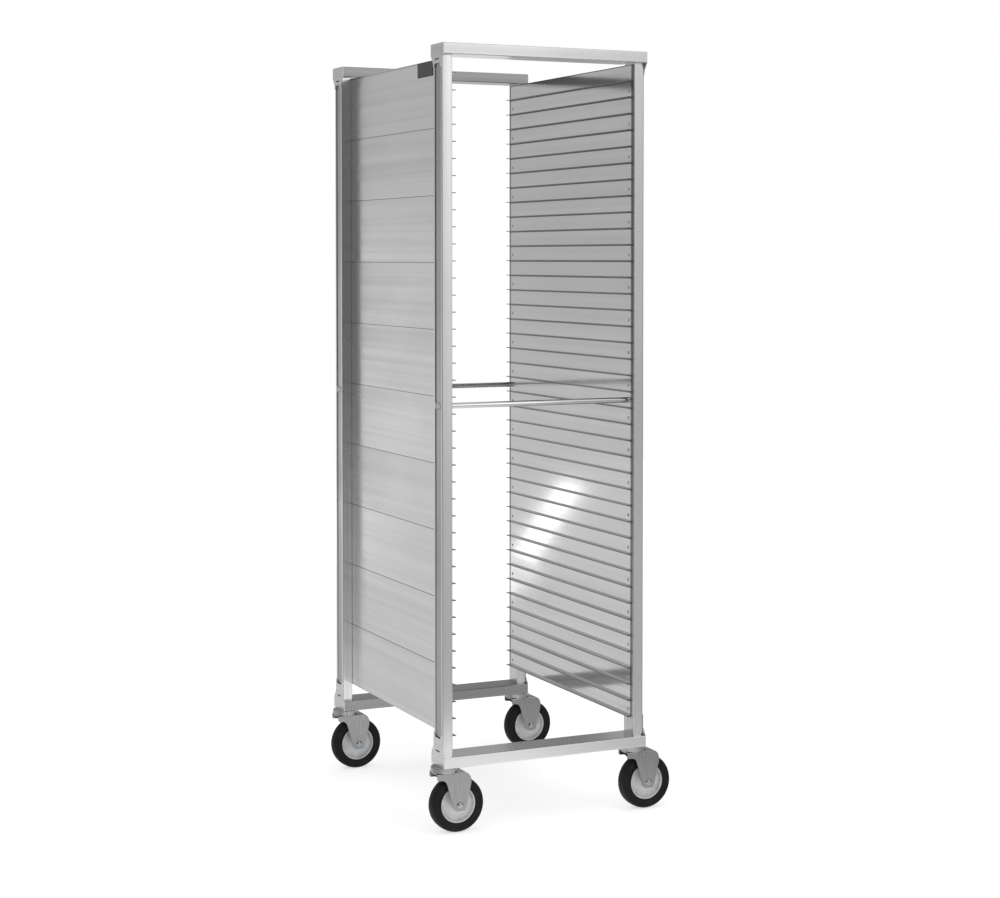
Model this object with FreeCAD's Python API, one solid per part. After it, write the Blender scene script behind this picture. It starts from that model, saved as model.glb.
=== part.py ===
import FreeCAD, Part

import math
import os

# Sheet pan rack: an open-ended aluminium frame with stacked side panels whose ledges
# carry the pans, standing on four swivel casters. Millimetres, X to the right, Y to
# the rear, Z up from the floor. The origin is on the floor under the middle of the
# outer box. All four wheels trail towards +X.

# ------------------------------------------------------------------ frame, driving sizes
FRAME_WIDTH = 514.35         # over the corner plates, left to right
POST_SPAN = 684.0            # front face of the front posts to back face of the rear ones
GAP_UNDER_PANELS = 43.2      # bottom rail to lowest panel
GAP_OVER_PANELS = 3.0        # highest panel to top rail

POST_WIDTH = 25.4
POST_DEPTH = 46.7
POST_WALL = 2.5
POST_CORNER_RADIUS = 1.5
RECESS_DEPTH = 2.0           # shallow channel down the outer side of each post
RECESS_BORDER = 6.35         # flat left each side of the recess
RECESS_RADIUS = 0.8

RAIL_HEIGHT = 25.4
RAIL_OVERHANG = 12.7         # rail beyond the posts' front and back faces
RAIL_WALL = 2.5
RAIL_CORNER_RADIUS = 2.0

PLATE_THICKNESS = 1.6        # corner plates welded over rail ends and posts
LOWER_PLATE_HEIGHT = 73.0
UPPER_PLATE_HEIGHT = 53.0
PLATE_FLARE_HEIGHT = 18.0    # where the plate narrows from the rail to the post
PLATE_FLARE_RADIUS = 14.0
PLATE_NOTCH_DEPTH = 9.0      # opening at the plate's end that leaves the recess free
PLATE_NOTCH_RADIUS = 6.0
PLATE_END_RADIUS = 1.0
WELD_SLOT_LENGTH = 24.0
WELD_SLOT_WIDTH = 3.0
WELD_SLOT_ABOVE_RAIL = 9.0

# ------------------------------------------------------------------ side panels
PANELS_PER_SIDE = 10
LEDGES_PER_PANEL = 4
LEDGE_PITCH = 38.1
LEDGE_REACH = 9.5            # ledge tip beyond the panel's web
LEDGE_THICKNESS = 2.0
LEDGE_TIP_RADIUS = 0.9
LEDGE_ROOT_RADIUS = 1.0
WEB_THICKNESS = 1.6
PANEL_SETBACK = 5.0          # panel ends behind the posts' end faces
TONGUE_THICKNESS = 0.7       # lip on the outer side that hangs over the panel below
TONGUE_HEIGHT = 2.4
LAP_CLEARANCE = 0.1
SEAM_GAP = 0.6

# ------------------------------------------------------------------ tie bars, rivets, nameplate
TIE_BAR_RADIUS = 6.35
TIE_SPIGOT_RADIUS = 4.5      # turned-down end, staked over the tie plate
TIE_BAR_SLOT = 19            # full slots below the bars, counted from the lowest ledge
TIE_HOLE_CLEARANCE = 0.2
TIE_PLATE_SIDE_GAP = 1.0     # tie plate to the walls of the recess
TIE_PLATE_HEIGHT = 15.0
TIE_PLATE_THICKNESS = 2.0
TIE_RIVET_FROM_END = 5.0

RIVET_RADIUS = 2.0
RIVET_HEAD_RADIUS = 4.0
RIVET_HEAD_HEIGHT = 1.5
RIVET_CREST_RADIUS = 2.4     # where the head's dome ends at the top
RIVET_TAIL_RADIUS = 2.8
RIVET_TAIL_LENGTH = 3.0
RIVET_EDGE_RADIUS = 1.0
RIVET_CLEARANCE = 0.1
RIVET_STEPS = (0.4, 2.4)     # rivet heights above a panel's lower edge, in ledge pitches

NAMEPLATE_LENGTH = 90.0
NAMEPLATE_HEIGHT = 34.0
NAMEPLATE_THICKNESS = 1.0
NAMEPLATE_FROM_POST = 63.0
NAMEPLATE_BELOW_TOP = 1.0
NAMEPLATE_RADIUS = 2.0

# ------------------------------------------------------------------ casters
CASTER_TRAIL = 29.5          # swivel axis to wheel axle
WHEEL_RADIUS = 63.5
TREAD_WIDTH = 32.0
TREAD_SHOULDER_RADIUS = 5.0
TYRE_THICKNESS = 21.5
TYRE_LIP_RADIUS = 2.0
TYRE_PROUD_OF_RIM = 2.0      # tyre's side beyond the hub's rim
HUB_WEB_WIDTH = 10.0
HUB_RIM_THICKNESS = 5.0
HUB_RIM_DRAFT = 1.5          # slope of the rim's inner side
HUB_FILLET_RADIUS = 4.0      # web to boss and rim
HUB_EDGE_RADIUS = 0.8
BOSS_WALL = 5.0
BOSS_DRAFT = 3.0             # boss wider at its foot
BOSS_EDGE_RADIUS = 1.5
BOSS_PROUD_OF_TREAD = 3.0
BUSHING_WALL = 3.2
BUSHING_EDGE_RADIUS = 0.8
BUSHING_PROUD_OF_BOSS = 1.0
WHEEL_SIDE_PLAY = 0.5        # bushing to each leg of the fork
FIT_CLEARANCE = 0.02         # pressed or seated pieces of one body
RUNNING_CLEARANCE = 0.05     # shaft in its bore

FORK_THICKNESS = 4.0
TYRE_TO_FORK = 8.4           # top of the tyre to the underside of the crown
FORK_BEND_RADIUS = 3.5
FORK_INNER_RADIUS = 1.5
CROWN_SETBACK = 3.0          # crown's edge inside the head's rim
LEG_TOP_REACH = 25.0         # crown and the top of the legs ahead of the swivel axis
LEG_TOP_DEPTH = 15.4         # how far down the legs keep that width
LEG_WAIST_REACH = 5.4        # leg ahead of the swivel axis just below
LEG_WAIST_RADIUS = 14.0
LEG_SHOULDER_REACH = 57.0    # leg behind the swivel axis at its widest
LEG_SHOULDER_DROP = 27.0     # widest point below the crown's top
LEG_SHOULDER_RADIUS = 20.0
LEG_CORNER_RADIUS = 3.0
LEG_END_RADIUS = 13.0        # round end about the axle
LEG_END_ROUNDING = 9.75

AXLE_RADIUS = 4.75
AXLE_HEAD_LIP = 3.25         # axle head beyond the pin
AXLE_HEAD_HEIGHT = 4.0
AXLE_HEAD_ROUNDING = 3.2

HEAD_RADIUS = 30.0
HEAD_HEIGHT = 10.0           # underside of the rail to the upper race
HEAD_RIM_WALL = 2.0
HEAD_EDGE_RADIUS = 1.5
RACE_GAP = 3.0               # upper race to the fork's crown
SKIRT_CLEARANCE = 0.6
BALL_RADIUS = 2.5
BALL_RING_SETBACK = 10.0     # ball centres inside the head's rim
BALL_COUNT = 16
BALL_CLEARANCE = 0.3
KINGPIN_RADIUS = 6.0
KINGPIN_HEAD_LIP = 4.0       # kingpin head beyond the pin
KINGPIN_HEAD_HEIGHT = 3.5
KINGPIN_HEAD_GAP = 0.4
KINGPIN_EDGE_RADIUS = 1.5
STEM_RADIUS = 5.0
STEM_EDGE_RADIUS = 1.0
STEM_HOLE_CLEARANCE = 0.2
STEM_BEYOND_NUT = 4.0
NUT_SIDE_GAP = 1.2           # nut's flats to the post's side walls
NUT_HEIGHT = 8.0

# ------------------------------------------------------------------ worked-out sizes
RECESS_WIDTH = POST_DEPTH - 2 * RECESS_BORDER
RAIL_DEPTH = POST_DEPTH + 2 * RAIL_OVERHANG
TIE_PLATE_WIDTH = RECESS_WIDTH - 2 * TIE_PLATE_SIDE_GAP
TIE_RIVET_OFFSET = TIE_PLATE_WIDTH / 2 - TIE_RIVET_FROM_END

BUSHING_RADIUS = AXLE_RADIUS + RUNNING_CLEARANCE + BUSHING_WALL
HUB_RADIUS = WHEEL_RADIUS - TYRE_THICKNESS
HUB_WIDTH = TREAD_WIDTH - 2 * TYRE_PROUD_OF_RIM
HUB_BOSS_RADIUS = BUSHING_RADIUS + BOSS_WALL
HUB_BOSS_WIDTH = TREAD_WIDTH + 2 * BOSS_PROUD_OF_TREAD
BUSHING_WIDTH = HUB_BOSS_WIDTH + 2 * BUSHING_PROUD_OF_BOSS
FORK_GAP = BUSHING_WIDTH + 2 * WHEEL_SIDE_PLAY
AXLE_HEAD_RADIUS = AXLE_RADIUS + AXLE_HEAD_LIP
CROWN_RADIUS = HEAD_RADIUS - CROWN_SETBACK
BALL_RING_RADIUS = HEAD_RADIUS - BALL_RING_SETBACK
KINGPIN_HEAD_RADIUS = KINGPIN_RADIUS + KINGPIN_HEAD_LIP

AXLE_Z = WHEEL_RADIUS
CROWN_Z = 2 * WHEEL_RADIUS + TYRE_TO_FORK + FORK_THICKNESS       # top of the fork
UPPER_RACE_Z = CROWN_Z + RACE_GAP
BALL_Z = (UPPER_RACE_Z + CROWN_Z) / 2
CASTER_HEIGHT = UPPER_RACE_Z + HEAD_HEIGHT   # floor to the underside of the bottom rail

FRAME_X = -CASTER_TRAIL                      # middle of the frame, left to right
LEFT_X = FRAME_X - FRAME_WIDTH / 2
FRONT_Y = -POST_SPAN / 2
POST_CENTRE_Y = FRONT_Y + POST_DEPTH / 2
POST_X = LEFT_X + PLATE_THICKNESS            # outer face of the left posts
CAVITY_X = POST_X + RECESS_DEPTH + POST_WALL
PANEL_X = POST_X + POST_WIDTH                # outer face of the left panels
CAVITY_END_X = PANEL_X - POST_WALL
SWIVEL_X = (CAVITY_X + CAVITY_END_X) / 2     # stem on the middle of the post's cavity
NUT_ACROSS_FLATS = CAVITY_END_X - CAVITY_X - 2 * NUT_SIDE_GAP

RAIL_BOTTOM_Z = CASTER_HEIGHT
POST_BOTTOM_Z = RAIL_BOTTOM_Z + RAIL_HEIGHT
PANEL_HEIGHT = LEDGES_PER_PANEL * LEDGE_PITCH
PANELS_BOTTOM_Z = POST_BOTTOM_Z + GAP_UNDER_PANELS
PANELS_TOP_Z = PANELS_BOTTOM_Z + PANELS_PER_SIDE * PANEL_HEIGHT
POST_TOP_Z = PANELS_TOP_Z + GAP_OVER_PANELS
TIE_BAR_Z = PANELS_BOTTOM_Z + (TIE_BAR_SLOT + 0.5) * LEDGE_PITCH

PANEL_GRIP = WEB_THICKNESS + POST_WALL
TIE_GRIP = TIE_PLATE_THICKNESS + POST_WALL
LAP_START = TONGUE_THICKNESS + LAP_CLEARANCE
RIVET_HEIGHTS = [step * LEDGE_PITCH for step in RIVET_STEPS]
NUT_Z = POST_BOTTOM_Z

UP = FreeCAD.Vector(0, 0, 1)
TO_RIGHT = FreeCAD.Vector(1, 0, 0)
TO_REAR = FreeCAD.Vector(0, 1, 0)


# ------------------------------------------------------------------ drawing helpers
def at(x, y, z):
    return FreeCAD.Vector(x, y, z)


def rounded_loop(corners):
    """Closed outline through (point, radius) corners, each rounded to its radius."""
    arcs = []
    count = len(corners)
    for index, (corner, radius) in enumerate(corners):
        back = (corners[index - 1][0] - corner).normalize()
        ahead = (corners[(index + 1) % count][0] - corner).normalize()
        half_angle = back.getAngle(ahead) / 2
        reach = radius / math.tan(half_angle)
        inward = (back + ahead).normalize() if radius else back
        middle = corner + inward * (radius / math.sin(half_angle) - radius)
        arcs.append((corner + back * reach, middle, corner + ahead * reach, radius))
    edges = []
    for index, (start, middle, end, radius) in enumerate(arcs):
        before = arcs[index - 1][2]
        if before.distanceToPoint(start) > 1e-6:
            edges.append(Part.LineSegment(before, start).toShape())
        if radius:
            edges.append(Part.Arc(start, middle, end).toShape())
    return Part.Wire(edges)


def extruded(corners, travel):
    return Part.Face(rounded_loop(corners)).extrude(travel)


def turned(profile):
    """Solid of revolution about Z from (radius, height, corner rounding) points."""
    corners = [(at(radius, 0, height), rounding) for radius, height, rounding in profile]
    return Part.Face(rounded_loop(corners)).revolve(at(0, 0, 0), UP, 360)


def rod(radius, length, centre, direction):
    """Round bar of a length along a direction, with its middle on a centre."""
    return Part.makeCylinder(radius, length, centre - direction * (length / 2), direction)


def moved(shape, x, y, z):
    shape.translate(at(x, y, z))
    return shape


def on_right(shape):
    return shape.mirror(at(FRAME_X, 0, 0), TO_RIGHT)


def at_rear(shape):
    return shape.mirror(at(0, 0, 0), TO_REAR)


def four_corners(front_left):
    """The front left piece and its mirror images, by corner name."""
    rear_left = at_rear(front_left)
    return {
        "front_left": front_left,
        "front_right": on_right(front_left),
        "rear_left": rear_left,
        "rear_right": on_right(rear_left),
    }


def swivel_axes():
    """Swivel axis of each caster, by corner name."""
    right_x = 2 * FRAME_X - SWIVEL_X
    return {
        "front_left": (SWIVEL_X, POST_CENTRE_Y),
        "front_right": (right_x, POST_CENTRE_Y),
        "rear_left": (SWIVEL_X, -POST_CENTRE_Y),
        "rear_right": (right_x, -POST_CENTRE_Y),
    }


# ------------------------------------------------------------------ fastener places
def panel_rivet_heights():
    heights = []
    for index in range(PANELS_PER_SIDE):
        bottom = PANELS_BOTTOM_Z + index * PANEL_HEIGHT
        heights.extend(bottom + height for height in RIVET_HEIGHTS)
    return heights


def rivet_along_x(head_x, y, z, grip):
    """Blind rivet with its head at head_x and its tail towards +X or -X by the grip's sign."""
    length = abs(grip)
    profile = [
        (0, RIVET_HEAD_HEIGHT, 0),
        (RIVET_CREST_RADIUS, RIVET_HEAD_HEIGHT, RIVET_EDGE_RADIUS),
        (RIVET_HEAD_RADIUS, 0, 0),
        (RIVET_RADIUS, 0, 0),
        (RIVET_RADIUS, -length, 0),
        (RIVET_TAIL_RADIUS, -length, 0),
        (RIVET_TAIL_RADIUS, -length - RIVET_TAIL_LENGTH, RIVET_EDGE_RADIUS),
        (0, -length - RIVET_TAIL_LENGTH, 0),
    ]
    rivet = turned(profile)
    head_turn = -90 if grip > 0 else 90
    rivet.rotate(at(0, 0, 0), TO_REAR, head_turn)
    return moved(rivet, head_x, y, z)


# ------------------------------------------------------------------ frame pieces
def post_front_left():
    recess_front = (POST_DEPTH - RECESS_WIDTH) / 2
    recess_back = POST_DEPTH - recess_front
    section = [
        (0, 0, POST_CORNER_RADIUS),
        (POST_WIDTH, 0, POST_CORNER_RADIUS),
        (POST_WIDTH, POST_DEPTH, POST_CORNER_RADIUS),
        (0, POST_DEPTH, POST_CORNER_RADIUS),
        (0, recess_back, 0),
        (RECESS_DEPTH, recess_back, RECESS_RADIUS),
        (RECESS_DEPTH, recess_front, RECESS_RADIUS),
        (0, recess_front, 0),
    ]
    corners = [(at(POST_X + x, FRONT_Y + y, POST_BOTTOM_Z), r) for x, y, r in section]
    post = extruded(corners, UP * (POST_TOP_Z - POST_BOTTOM_Z))
    cavity = Part.makeBox(
        CAVITY_END_X - CAVITY_X,
        POST_DEPTH - 2 * POST_WALL,
        POST_TOP_Z - POST_BOTTOM_Z,
        at(CAVITY_X, FRONT_Y + POST_WALL, POST_BOTTOM_Z),
    )
    inner_wall = at(PANEL_X - POST_WALL / 2, POST_CENTRE_Y, 0)
    outer_wall = at(CAVITY_X - POST_WALL / 2, POST_CENTRE_Y, TIE_BAR_Z)
    drill = 2 * POST_WALL
    holes = [
        rod(RIVET_RADIUS + RIVET_CLEARANCE, drill, inner_wall + UP * z, TO_RIGHT)
        for z in panel_rivet_heights()
    ]
    tie_hole = TIE_BAR_RADIUS + TIE_HOLE_CLEARANCE
    holes.append(rod(tie_hole, drill, inner_wall + UP * TIE_BAR_Z, TO_RIGHT))
    spigot_hole = TIE_SPIGOT_RADIUS + RUNNING_CLEARANCE
    holes.append(rod(spigot_hole, drill, outer_wall, TO_RIGHT))
    for offset in (-TIE_RIVET_OFFSET, TIE_RIVET_OFFSET):
        centre = outer_wall + TO_REAR * offset
        holes.append(rod(RIVET_RADIUS + RIVET_CLEARANCE, drill, centre, TO_RIGHT))
    return post.cut(cavity).cut(holes)


def rail_tube(bottom_z):
    """Front rail between the corner plates, centred on the posts front to back."""
    length = FRAME_WIDTH - 2 * PLATE_THICKNESS
    front = POST_CENTRE_Y - RAIL_DEPTH / 2
    section = [
        (0, 0),
        (RAIL_DEPTH, 0),
        (RAIL_DEPTH, RAIL_HEIGHT),
        (0, RAIL_HEIGHT),
    ]
    corners = [(at(POST_X, front + y, bottom_z + z), RAIL_CORNER_RADIUS) for y, z in section]
    hollow = Part.makeBox(
        length,
        RAIL_DEPTH - 2 * RAIL_WALL,
        RAIL_HEIGHT - 2 * RAIL_WALL,
        at(POST_X, front + RAIL_WALL, bottom_z + RAIL_WALL),
    )
    return extruded(corners, TO_RIGHT * length).cut(hollow)


def bottom_rail_front():
    stem_hole = Part.makeCylinder(
        STEM_RADIUS + STEM_HOLE_CLEARANCE,
        RAIL_HEIGHT,
        at(SWIVEL_X, POST_CENTRE_Y, RAIL_BOTTOM_Z),
    )
    return rail_tube(RAIL_BOTTOM_Z).cut([stem_hole, on_right(stem_hole)])


def corner_plate(height):
    """Plate for the front left corner, drawn upwards from the rail's far edge at z = 0."""
    wide = RAIL_DEPTH / 2
    narrow = POST_DEPTH / 2
    notch = RECESS_WIDTH / 2
    flare_top = RAIL_HEIGHT + PLATE_FLARE_HEIGHT
    notch_bottom = height - PLATE_NOTCH_DEPTH
    half = [
        (wide, 0, RAIL_CORNER_RADIUS),
        (wide, RAIL_HEIGHT, RAIL_CORNER_RADIUS),
        (narrow, flare_top, PLATE_FLARE_RADIUS),
        (narrow, height, PLATE_END_RADIUS),
        (notch, height, PLATE_END_RADIUS),
        (notch, notch_bottom, PLATE_NOTCH_RADIUS),
    ]
    outline = half + [(-y, z, r) for y, z, r in reversed(half)]
    corners = [(at(LEFT_X, POST_CENTRE_Y + y, z), r) for y, z, r in outline]
    plate = extruded(corners, TO_RIGHT * PLATE_THICKNESS)
    slot_reach = (WELD_SLOT_LENGTH - WELD_SLOT_WIDTH) / 2
    slot_z = RAIL_HEIGHT + WELD_SLOT_ABOVE_RAIL
    slot_ends = [(-slot_reach, -1), (slot_reach, -1), (slot_reach, 1), (-slot_reach, 1)]
    slot = extruded(
        [
            (at(LEFT_X, POST_CENTRE_Y + y, slot_z + side * WELD_SLOT_WIDTH / 2), 0)
            for y, side in slot_ends
        ],
        TO_RIGHT * PLATE_THICKNESS,
    )
    middle_x = LEFT_X + PLATE_THICKNESS / 2
    for y in (-slot_reach, slot_reach):
        end = at(middle_x, POST_CENTRE_Y + y, slot_z)
        slot = slot.fuse(rod(WELD_SLOT_WIDTH / 2, PLATE_THICKNESS, end, TO_RIGHT))
    return plate.cut(slot)


def corner_plates():
    lower = moved(corner_plate(LOWER_PLATE_HEIGHT), 0, 0, RAIL_BOTTOM_Z)
    upper = corner_plate(UPPER_PLATE_HEIGHT).mirror(at(0, 0, 0), UP)
    upper = moved(upper, 0, 0, POST_TOP_Z + RAIL_HEIGHT)
    pieces = list(four_corners(lower).values()) + list(four_corners(upper).values())
    return Part.makeCompound(pieces)


# ------------------------------------------------------------------ side panels
def panel_profile():
    """Panel cross-section as (depth inwards, height, rounding) points, ledges at each pitch."""
    tip = WEB_THICKNESS + LEDGE_REACH
    profile = [(TONGUE_THICKNESS, 0, 0)]
    for ledge in range(LEDGES_PER_PANEL):
        under = ledge * LEDGE_PITCH
        if ledge:
            profile.append((WEB_THICKNESS, under, 0))
        profile.append((tip, under, LEDGE_TIP_RADIUS))
        profile.append((tip, under + LEDGE_THICKNESS, LEDGE_TIP_RADIUS))
        profile.append((WEB_THICKNESS, under + LEDGE_THICKNESS, LEDGE_ROOT_RADIUS))
    profile += [
        (WEB_THICKNESS, PANEL_HEIGHT, 0),
        (LAP_START, PANEL_HEIGHT, 0),
        (LAP_START, PANEL_HEIGHT - TONGUE_HEIGHT - SEAM_GAP, 0),
        (0, PANEL_HEIGHT - TONGUE_HEIGHT - SEAM_GAP, 0),
        (0, -TONGUE_HEIGHT, 0),
        (TONGUE_THICKNESS, -TONGUE_HEIGHT, 0),
    ]
    return profile


def side_panel_left(index):
    bottom = PANELS_BOTTOM_Z + index * PANEL_HEIGHT
    start_y = FRONT_Y + PANEL_SETBACK
    length = POST_SPAN - 2 * PANEL_SETBACK
    corners = [(at(PANEL_X + x, start_y, bottom + z), r) for x, z, r in panel_profile()]
    panel = extruded(corners, TO_REAR * length)
    middle_x = PANEL_X + WEB_THICKNESS / 2
    drill = 2 * WEB_THICKNESS
    holes = []
    for y in (POST_CENTRE_Y, -POST_CENTRE_Y):
        for height in RIVET_HEIGHTS:
            centre = at(middle_x, y, bottom + height)
            holes.append(rod(RIVET_RADIUS + RIVET_CLEARANCE, drill, centre, TO_RIGHT))
        if bottom < TIE_BAR_Z < bottom + PANEL_HEIGHT:
            centre = at(middle_x, y, TIE_BAR_Z)
            holes.append(rod(TIE_BAR_RADIUS + TIE_HOLE_CLEARANCE, drill, centre, TO_RIGHT))
    return panel.cut(holes)


# ------------------------------------------------------------------ tie bars and fasteners
def tie_bar_front():
    """Round bar from post to post, with a thinner spigot through each outer wall."""
    centre = at(FRAME_X, POST_CENTRE_Y, TIE_BAR_Z)
    bar = rod(TIE_BAR_RADIUS, 2 * (FRAME_X - CAVITY_X), centre, TO_RIGHT)
    spigot_x = POST_X + RECESS_DEPTH - TIE_PLATE_THICKNESS
    spigots = rod(TIE_SPIGOT_RADIUS, 2 * (FRAME_X - spigot_x), centre, TO_RIGHT)
    return bar.fuse(spigots).removeSplitter()


def tie_plate_front_left():
    outer_x = POST_X + RECESS_DEPTH - TIE_PLATE_THICKNESS
    plate = Part.makeBox(
        TIE_PLATE_THICKNESS,
        TIE_PLATE_WIDTH,
        TIE_PLATE_HEIGHT,
        at(outer_x, POST_CENTRE_Y - TIE_PLATE_WIDTH / 2, TIE_BAR_Z - TIE_PLATE_HEIGHT / 2),
    )
    centre = at(outer_x + TIE_PLATE_THICKNESS / 2, POST_CENTRE_Y, TIE_BAR_Z)
    drill = 2 * TIE_PLATE_THICKNESS
    holes = [rod(TIE_SPIGOT_RADIUS + RUNNING_CLEARANCE, drill, centre, TO_RIGHT)]
    for offset in (-TIE_RIVET_OFFSET, TIE_RIVET_OFFSET):
        place = centre + TO_REAR * offset
        holes.append(rod(RIVET_RADIUS + RIVET_CLEARANCE, drill, place, TO_RIGHT))
    return plate.cut(holes)


def tie_bar_plates():
    return Part.makeCompound(list(four_corners(tie_plate_front_left()).values()))


def rivets():
    """Every rivet of the frame: panels to posts, and tie plates to posts."""
    head_x = PANEL_X + WEB_THICKNESS
    pieces = []
    for z in panel_rivet_heights():
        rivet = rivet_along_x(head_x, POST_CENTRE_Y, z, -PANEL_GRIP)
        pieces.extend(four_corners(rivet).values())
    plate_x = POST_X + RECESS_DEPTH - TIE_PLATE_THICKNESS
    for offset in (-TIE_RIVET_OFFSET, TIE_RIVET_OFFSET):
        rivet = rivet_along_x(plate_x, POST_CENTRE_Y + offset, TIE_BAR_Z, TIE_GRIP)
        pieces.extend(four_corners(rivet).values())
    return Part.makeCompound(pieces)


def nameplate():
    """Blank plate on the outer face of the highest left panel, near the front post."""
    front = FRONT_Y + POST_DEPTH + NAMEPLATE_FROM_POST
    top = PANELS_TOP_Z - NAMEPLATE_BELOW_TOP
    section = [
        (front, top - NAMEPLATE_HEIGHT),
        (front + NAMEPLATE_LENGTH, top - NAMEPLATE_HEIGHT),
        (front + NAMEPLATE_LENGTH, top),
        (front, top),
    ]
    corners = [(at(PANEL_X - NAMEPLATE_THICKNESS, y, z), NAMEPLATE_RADIUS) for y, z in section]
    return extruded(corners, TO_RIGHT * NAMEPLATE_THICKNESS)


# ------------------------------------------------------------------ casters, about the swivel axis
def ball_groove():
    return Part.makeTorus(BALL_RING_RADIUS, BALL_RADIUS + BALL_CLEARANCE, at(0, 0, BALL_Z), UP)


def caster_head():
    """Upper race with its rim, the stem above it and the kingpin below, as one turned piece."""
    stem_top = NUT_Z + NUT_HEIGHT + STEM_BEYOND_NUT
    kingpin_head = CROWN_Z - FORK_THICKNESS - KINGPIN_HEAD_GAP
    kingpin_end = kingpin_head - KINGPIN_HEAD_HEIGHT
    rim_bottom = CROWN_Z + SKIRT_CLEARANCE
    profile = [
        (0, stem_top, 0),
        (STEM_RADIUS, stem_top, STEM_EDGE_RADIUS),
        (STEM_RADIUS, CASTER_HEIGHT, 0),
        (HEAD_RADIUS - HEAD_RIM_WALL, CASTER_HEIGHT, 0),
        (HEAD_RADIUS, CASTER_HEIGHT - HEAD_RIM_WALL, HEAD_EDGE_RADIUS),
        (HEAD_RADIUS, rim_bottom, 0),
        (HEAD_RADIUS - HEAD_RIM_WALL, rim_bottom, 0),
        (HEAD_RADIUS - HEAD_RIM_WALL, UPPER_RACE_Z, 0),
        (KINGPIN_RADIUS, UPPER_RACE_Z, 0),
        (KINGPIN_RADIUS, kingpin_head, 0),
        (KINGPIN_HEAD_RADIUS, kingpin_head, 0),
        (KINGPIN_HEAD_RADIUS, kingpin_end, KINGPIN_EDGE_RADIUS),
        (0, kingpin_end, 0),
    ]
    return turned(profile).cut(ball_groove())


def ball_ring():
    balls = []
    for index in range(BALL_COUNT):
        angle = 2 * math.pi * index / BALL_COUNT
        x = BALL_RING_RADIUS * math.cos(angle)
        y = BALL_RING_RADIUS * math.sin(angle)
        balls.append(Part.makeSphere(BALL_RADIUS, at(x, y, BALL_Z)))
    return balls


def stem_nut():
    """Hexagon nut on the stem inside the post, with two flats towards the side walls."""
    corner_radius = NUT_ACROSS_FLATS / math.sqrt(3)
    corners = []
    for index in range(6):
        angle = math.radians(60 * index + 30)
        x = corner_radius * math.cos(angle)
        y = corner_radius * math.sin(angle)
        corners.append((at(x, y, NUT_Z), 0))
    bore = Part.makeCylinder(STEM_RADIUS + FIT_CLEARANCE, NUT_HEIGHT, at(0, 0, NUT_Z))
    return extruded(corners, UP * NUT_HEIGHT).cut(bore)


def leg_outline():
    """Side view of the fork: wide top, round rear shoulder, waist, round end about the axle."""
    shoulder_z = CROWN_Z - LEG_SHOULDER_DROP
    waist_z = CROWN_Z - LEG_TOP_DEPTH
    end_z = AXLE_Z - LEG_END_RADIUS
    return [
        (-LEG_TOP_REACH, CROWN_Z, LEG_CORNER_RADIUS),
        (LEG_SHOULDER_REACH, CROWN_Z, LEG_SHOULDER_RADIUS),
        (LEG_SHOULDER_REACH, shoulder_z, LEG_CORNER_RADIUS),
        (CASTER_TRAIL + LEG_END_RADIUS, end_z, LEG_END_ROUNDING),
        (CASTER_TRAIL - LEG_END_RADIUS, end_z, LEG_END_ROUNDING),
        (-LEG_WAIST_REACH, waist_z, LEG_WAIST_RADIUS),
        (-LEG_TOP_REACH, waist_z, LEG_CORNER_RADIUS),
    ]


def caster_fork():
    """Pressed fork: a U section across the wheel, cut to the leg's side view, with its crown."""
    half_outer = FORK_GAP / 2 + FORK_THICKNESS
    half_inner = FORK_GAP / 2
    low = AXLE_Z - 2 * LEG_END_RADIUS
    start_x = -LEG_TOP_REACH
    run = TO_RIGHT * (LEG_TOP_REACH + LEG_SHOULDER_REACH)
    section = [
        (-half_outer, low, 0),
        (-half_inner, low, 0),
        (-half_inner, CROWN_Z - FORK_THICKNESS, FORK_INNER_RADIUS),
        (half_inner, CROWN_Z - FORK_THICKNESS, FORK_INNER_RADIUS),
        (half_inner, low, 0),
        (half_outer, low, 0),
        (half_outer, CROWN_Z, FORK_BEND_RADIUS),
        (-half_outer, CROWN_Z, FORK_BEND_RADIUS),
    ]
    channel = extruded([(at(start_x, y, z), r) for y, z, r in section], run)
    side_view = extruded(
        [(at(x, -half_outer, z), r) for x, z, r in leg_outline()],
        TO_REAR * (2 * half_outer),
    )
    crown = Part.makeCylinder(CROWN_RADIUS, FORK_THICKNESS, at(0, 0, CROWN_Z - FORK_THICKNESS))
    fork = channel.common(side_view).fuse(crown)
    crown_middle = at(0, 0, CROWN_Z - FORK_THICKNESS / 2)
    kingpin_hole = rod(KINGPIN_RADIUS + RUNNING_CLEARANCE, 2 * FORK_THICKNESS, crown_middle, UP)
    axle_middle = at(CASTER_TRAIL, 0, AXLE_Z)
    across = 2 * (half_outer + FORK_THICKNESS)
    axle_hole = rod(AXLE_RADIUS + FIT_CLEARANCE, across, axle_middle, TO_REAR)
    return fork.cut([kingpin_hole, axle_hole, ball_groove()]).removeSplitter()


def on_axle(shape):
    """Turns a piece drawn about Z onto the wheel's axle."""
    shape.rotate(at(0, 0, 0), TO_RIGHT, -90)
    return moved(shape, CASTER_TRAIL, 0, AXLE_Z)


def ring_profile(half):
    """A whole profile from the half above the wheel's middle plane."""
    return half + [(radius, -height, rounding) for radius, height, rounding in reversed(half)]


def caster_axle():
    """Axle pin with a domed head outside each leg of the fork."""
    face = FORK_GAP / 2 + FORK_THICKNESS
    end = face + AXLE_HEAD_HEIGHT
    half = [
        (AXLE_RADIUS, face, 0),
        (AXLE_HEAD_RADIUS, face, 0),
        (AXLE_HEAD_RADIUS, end, AXLE_HEAD_ROUNDING),
        (0, end, 0),
    ]
    return on_axle(turned(ring_profile(half)))


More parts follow.
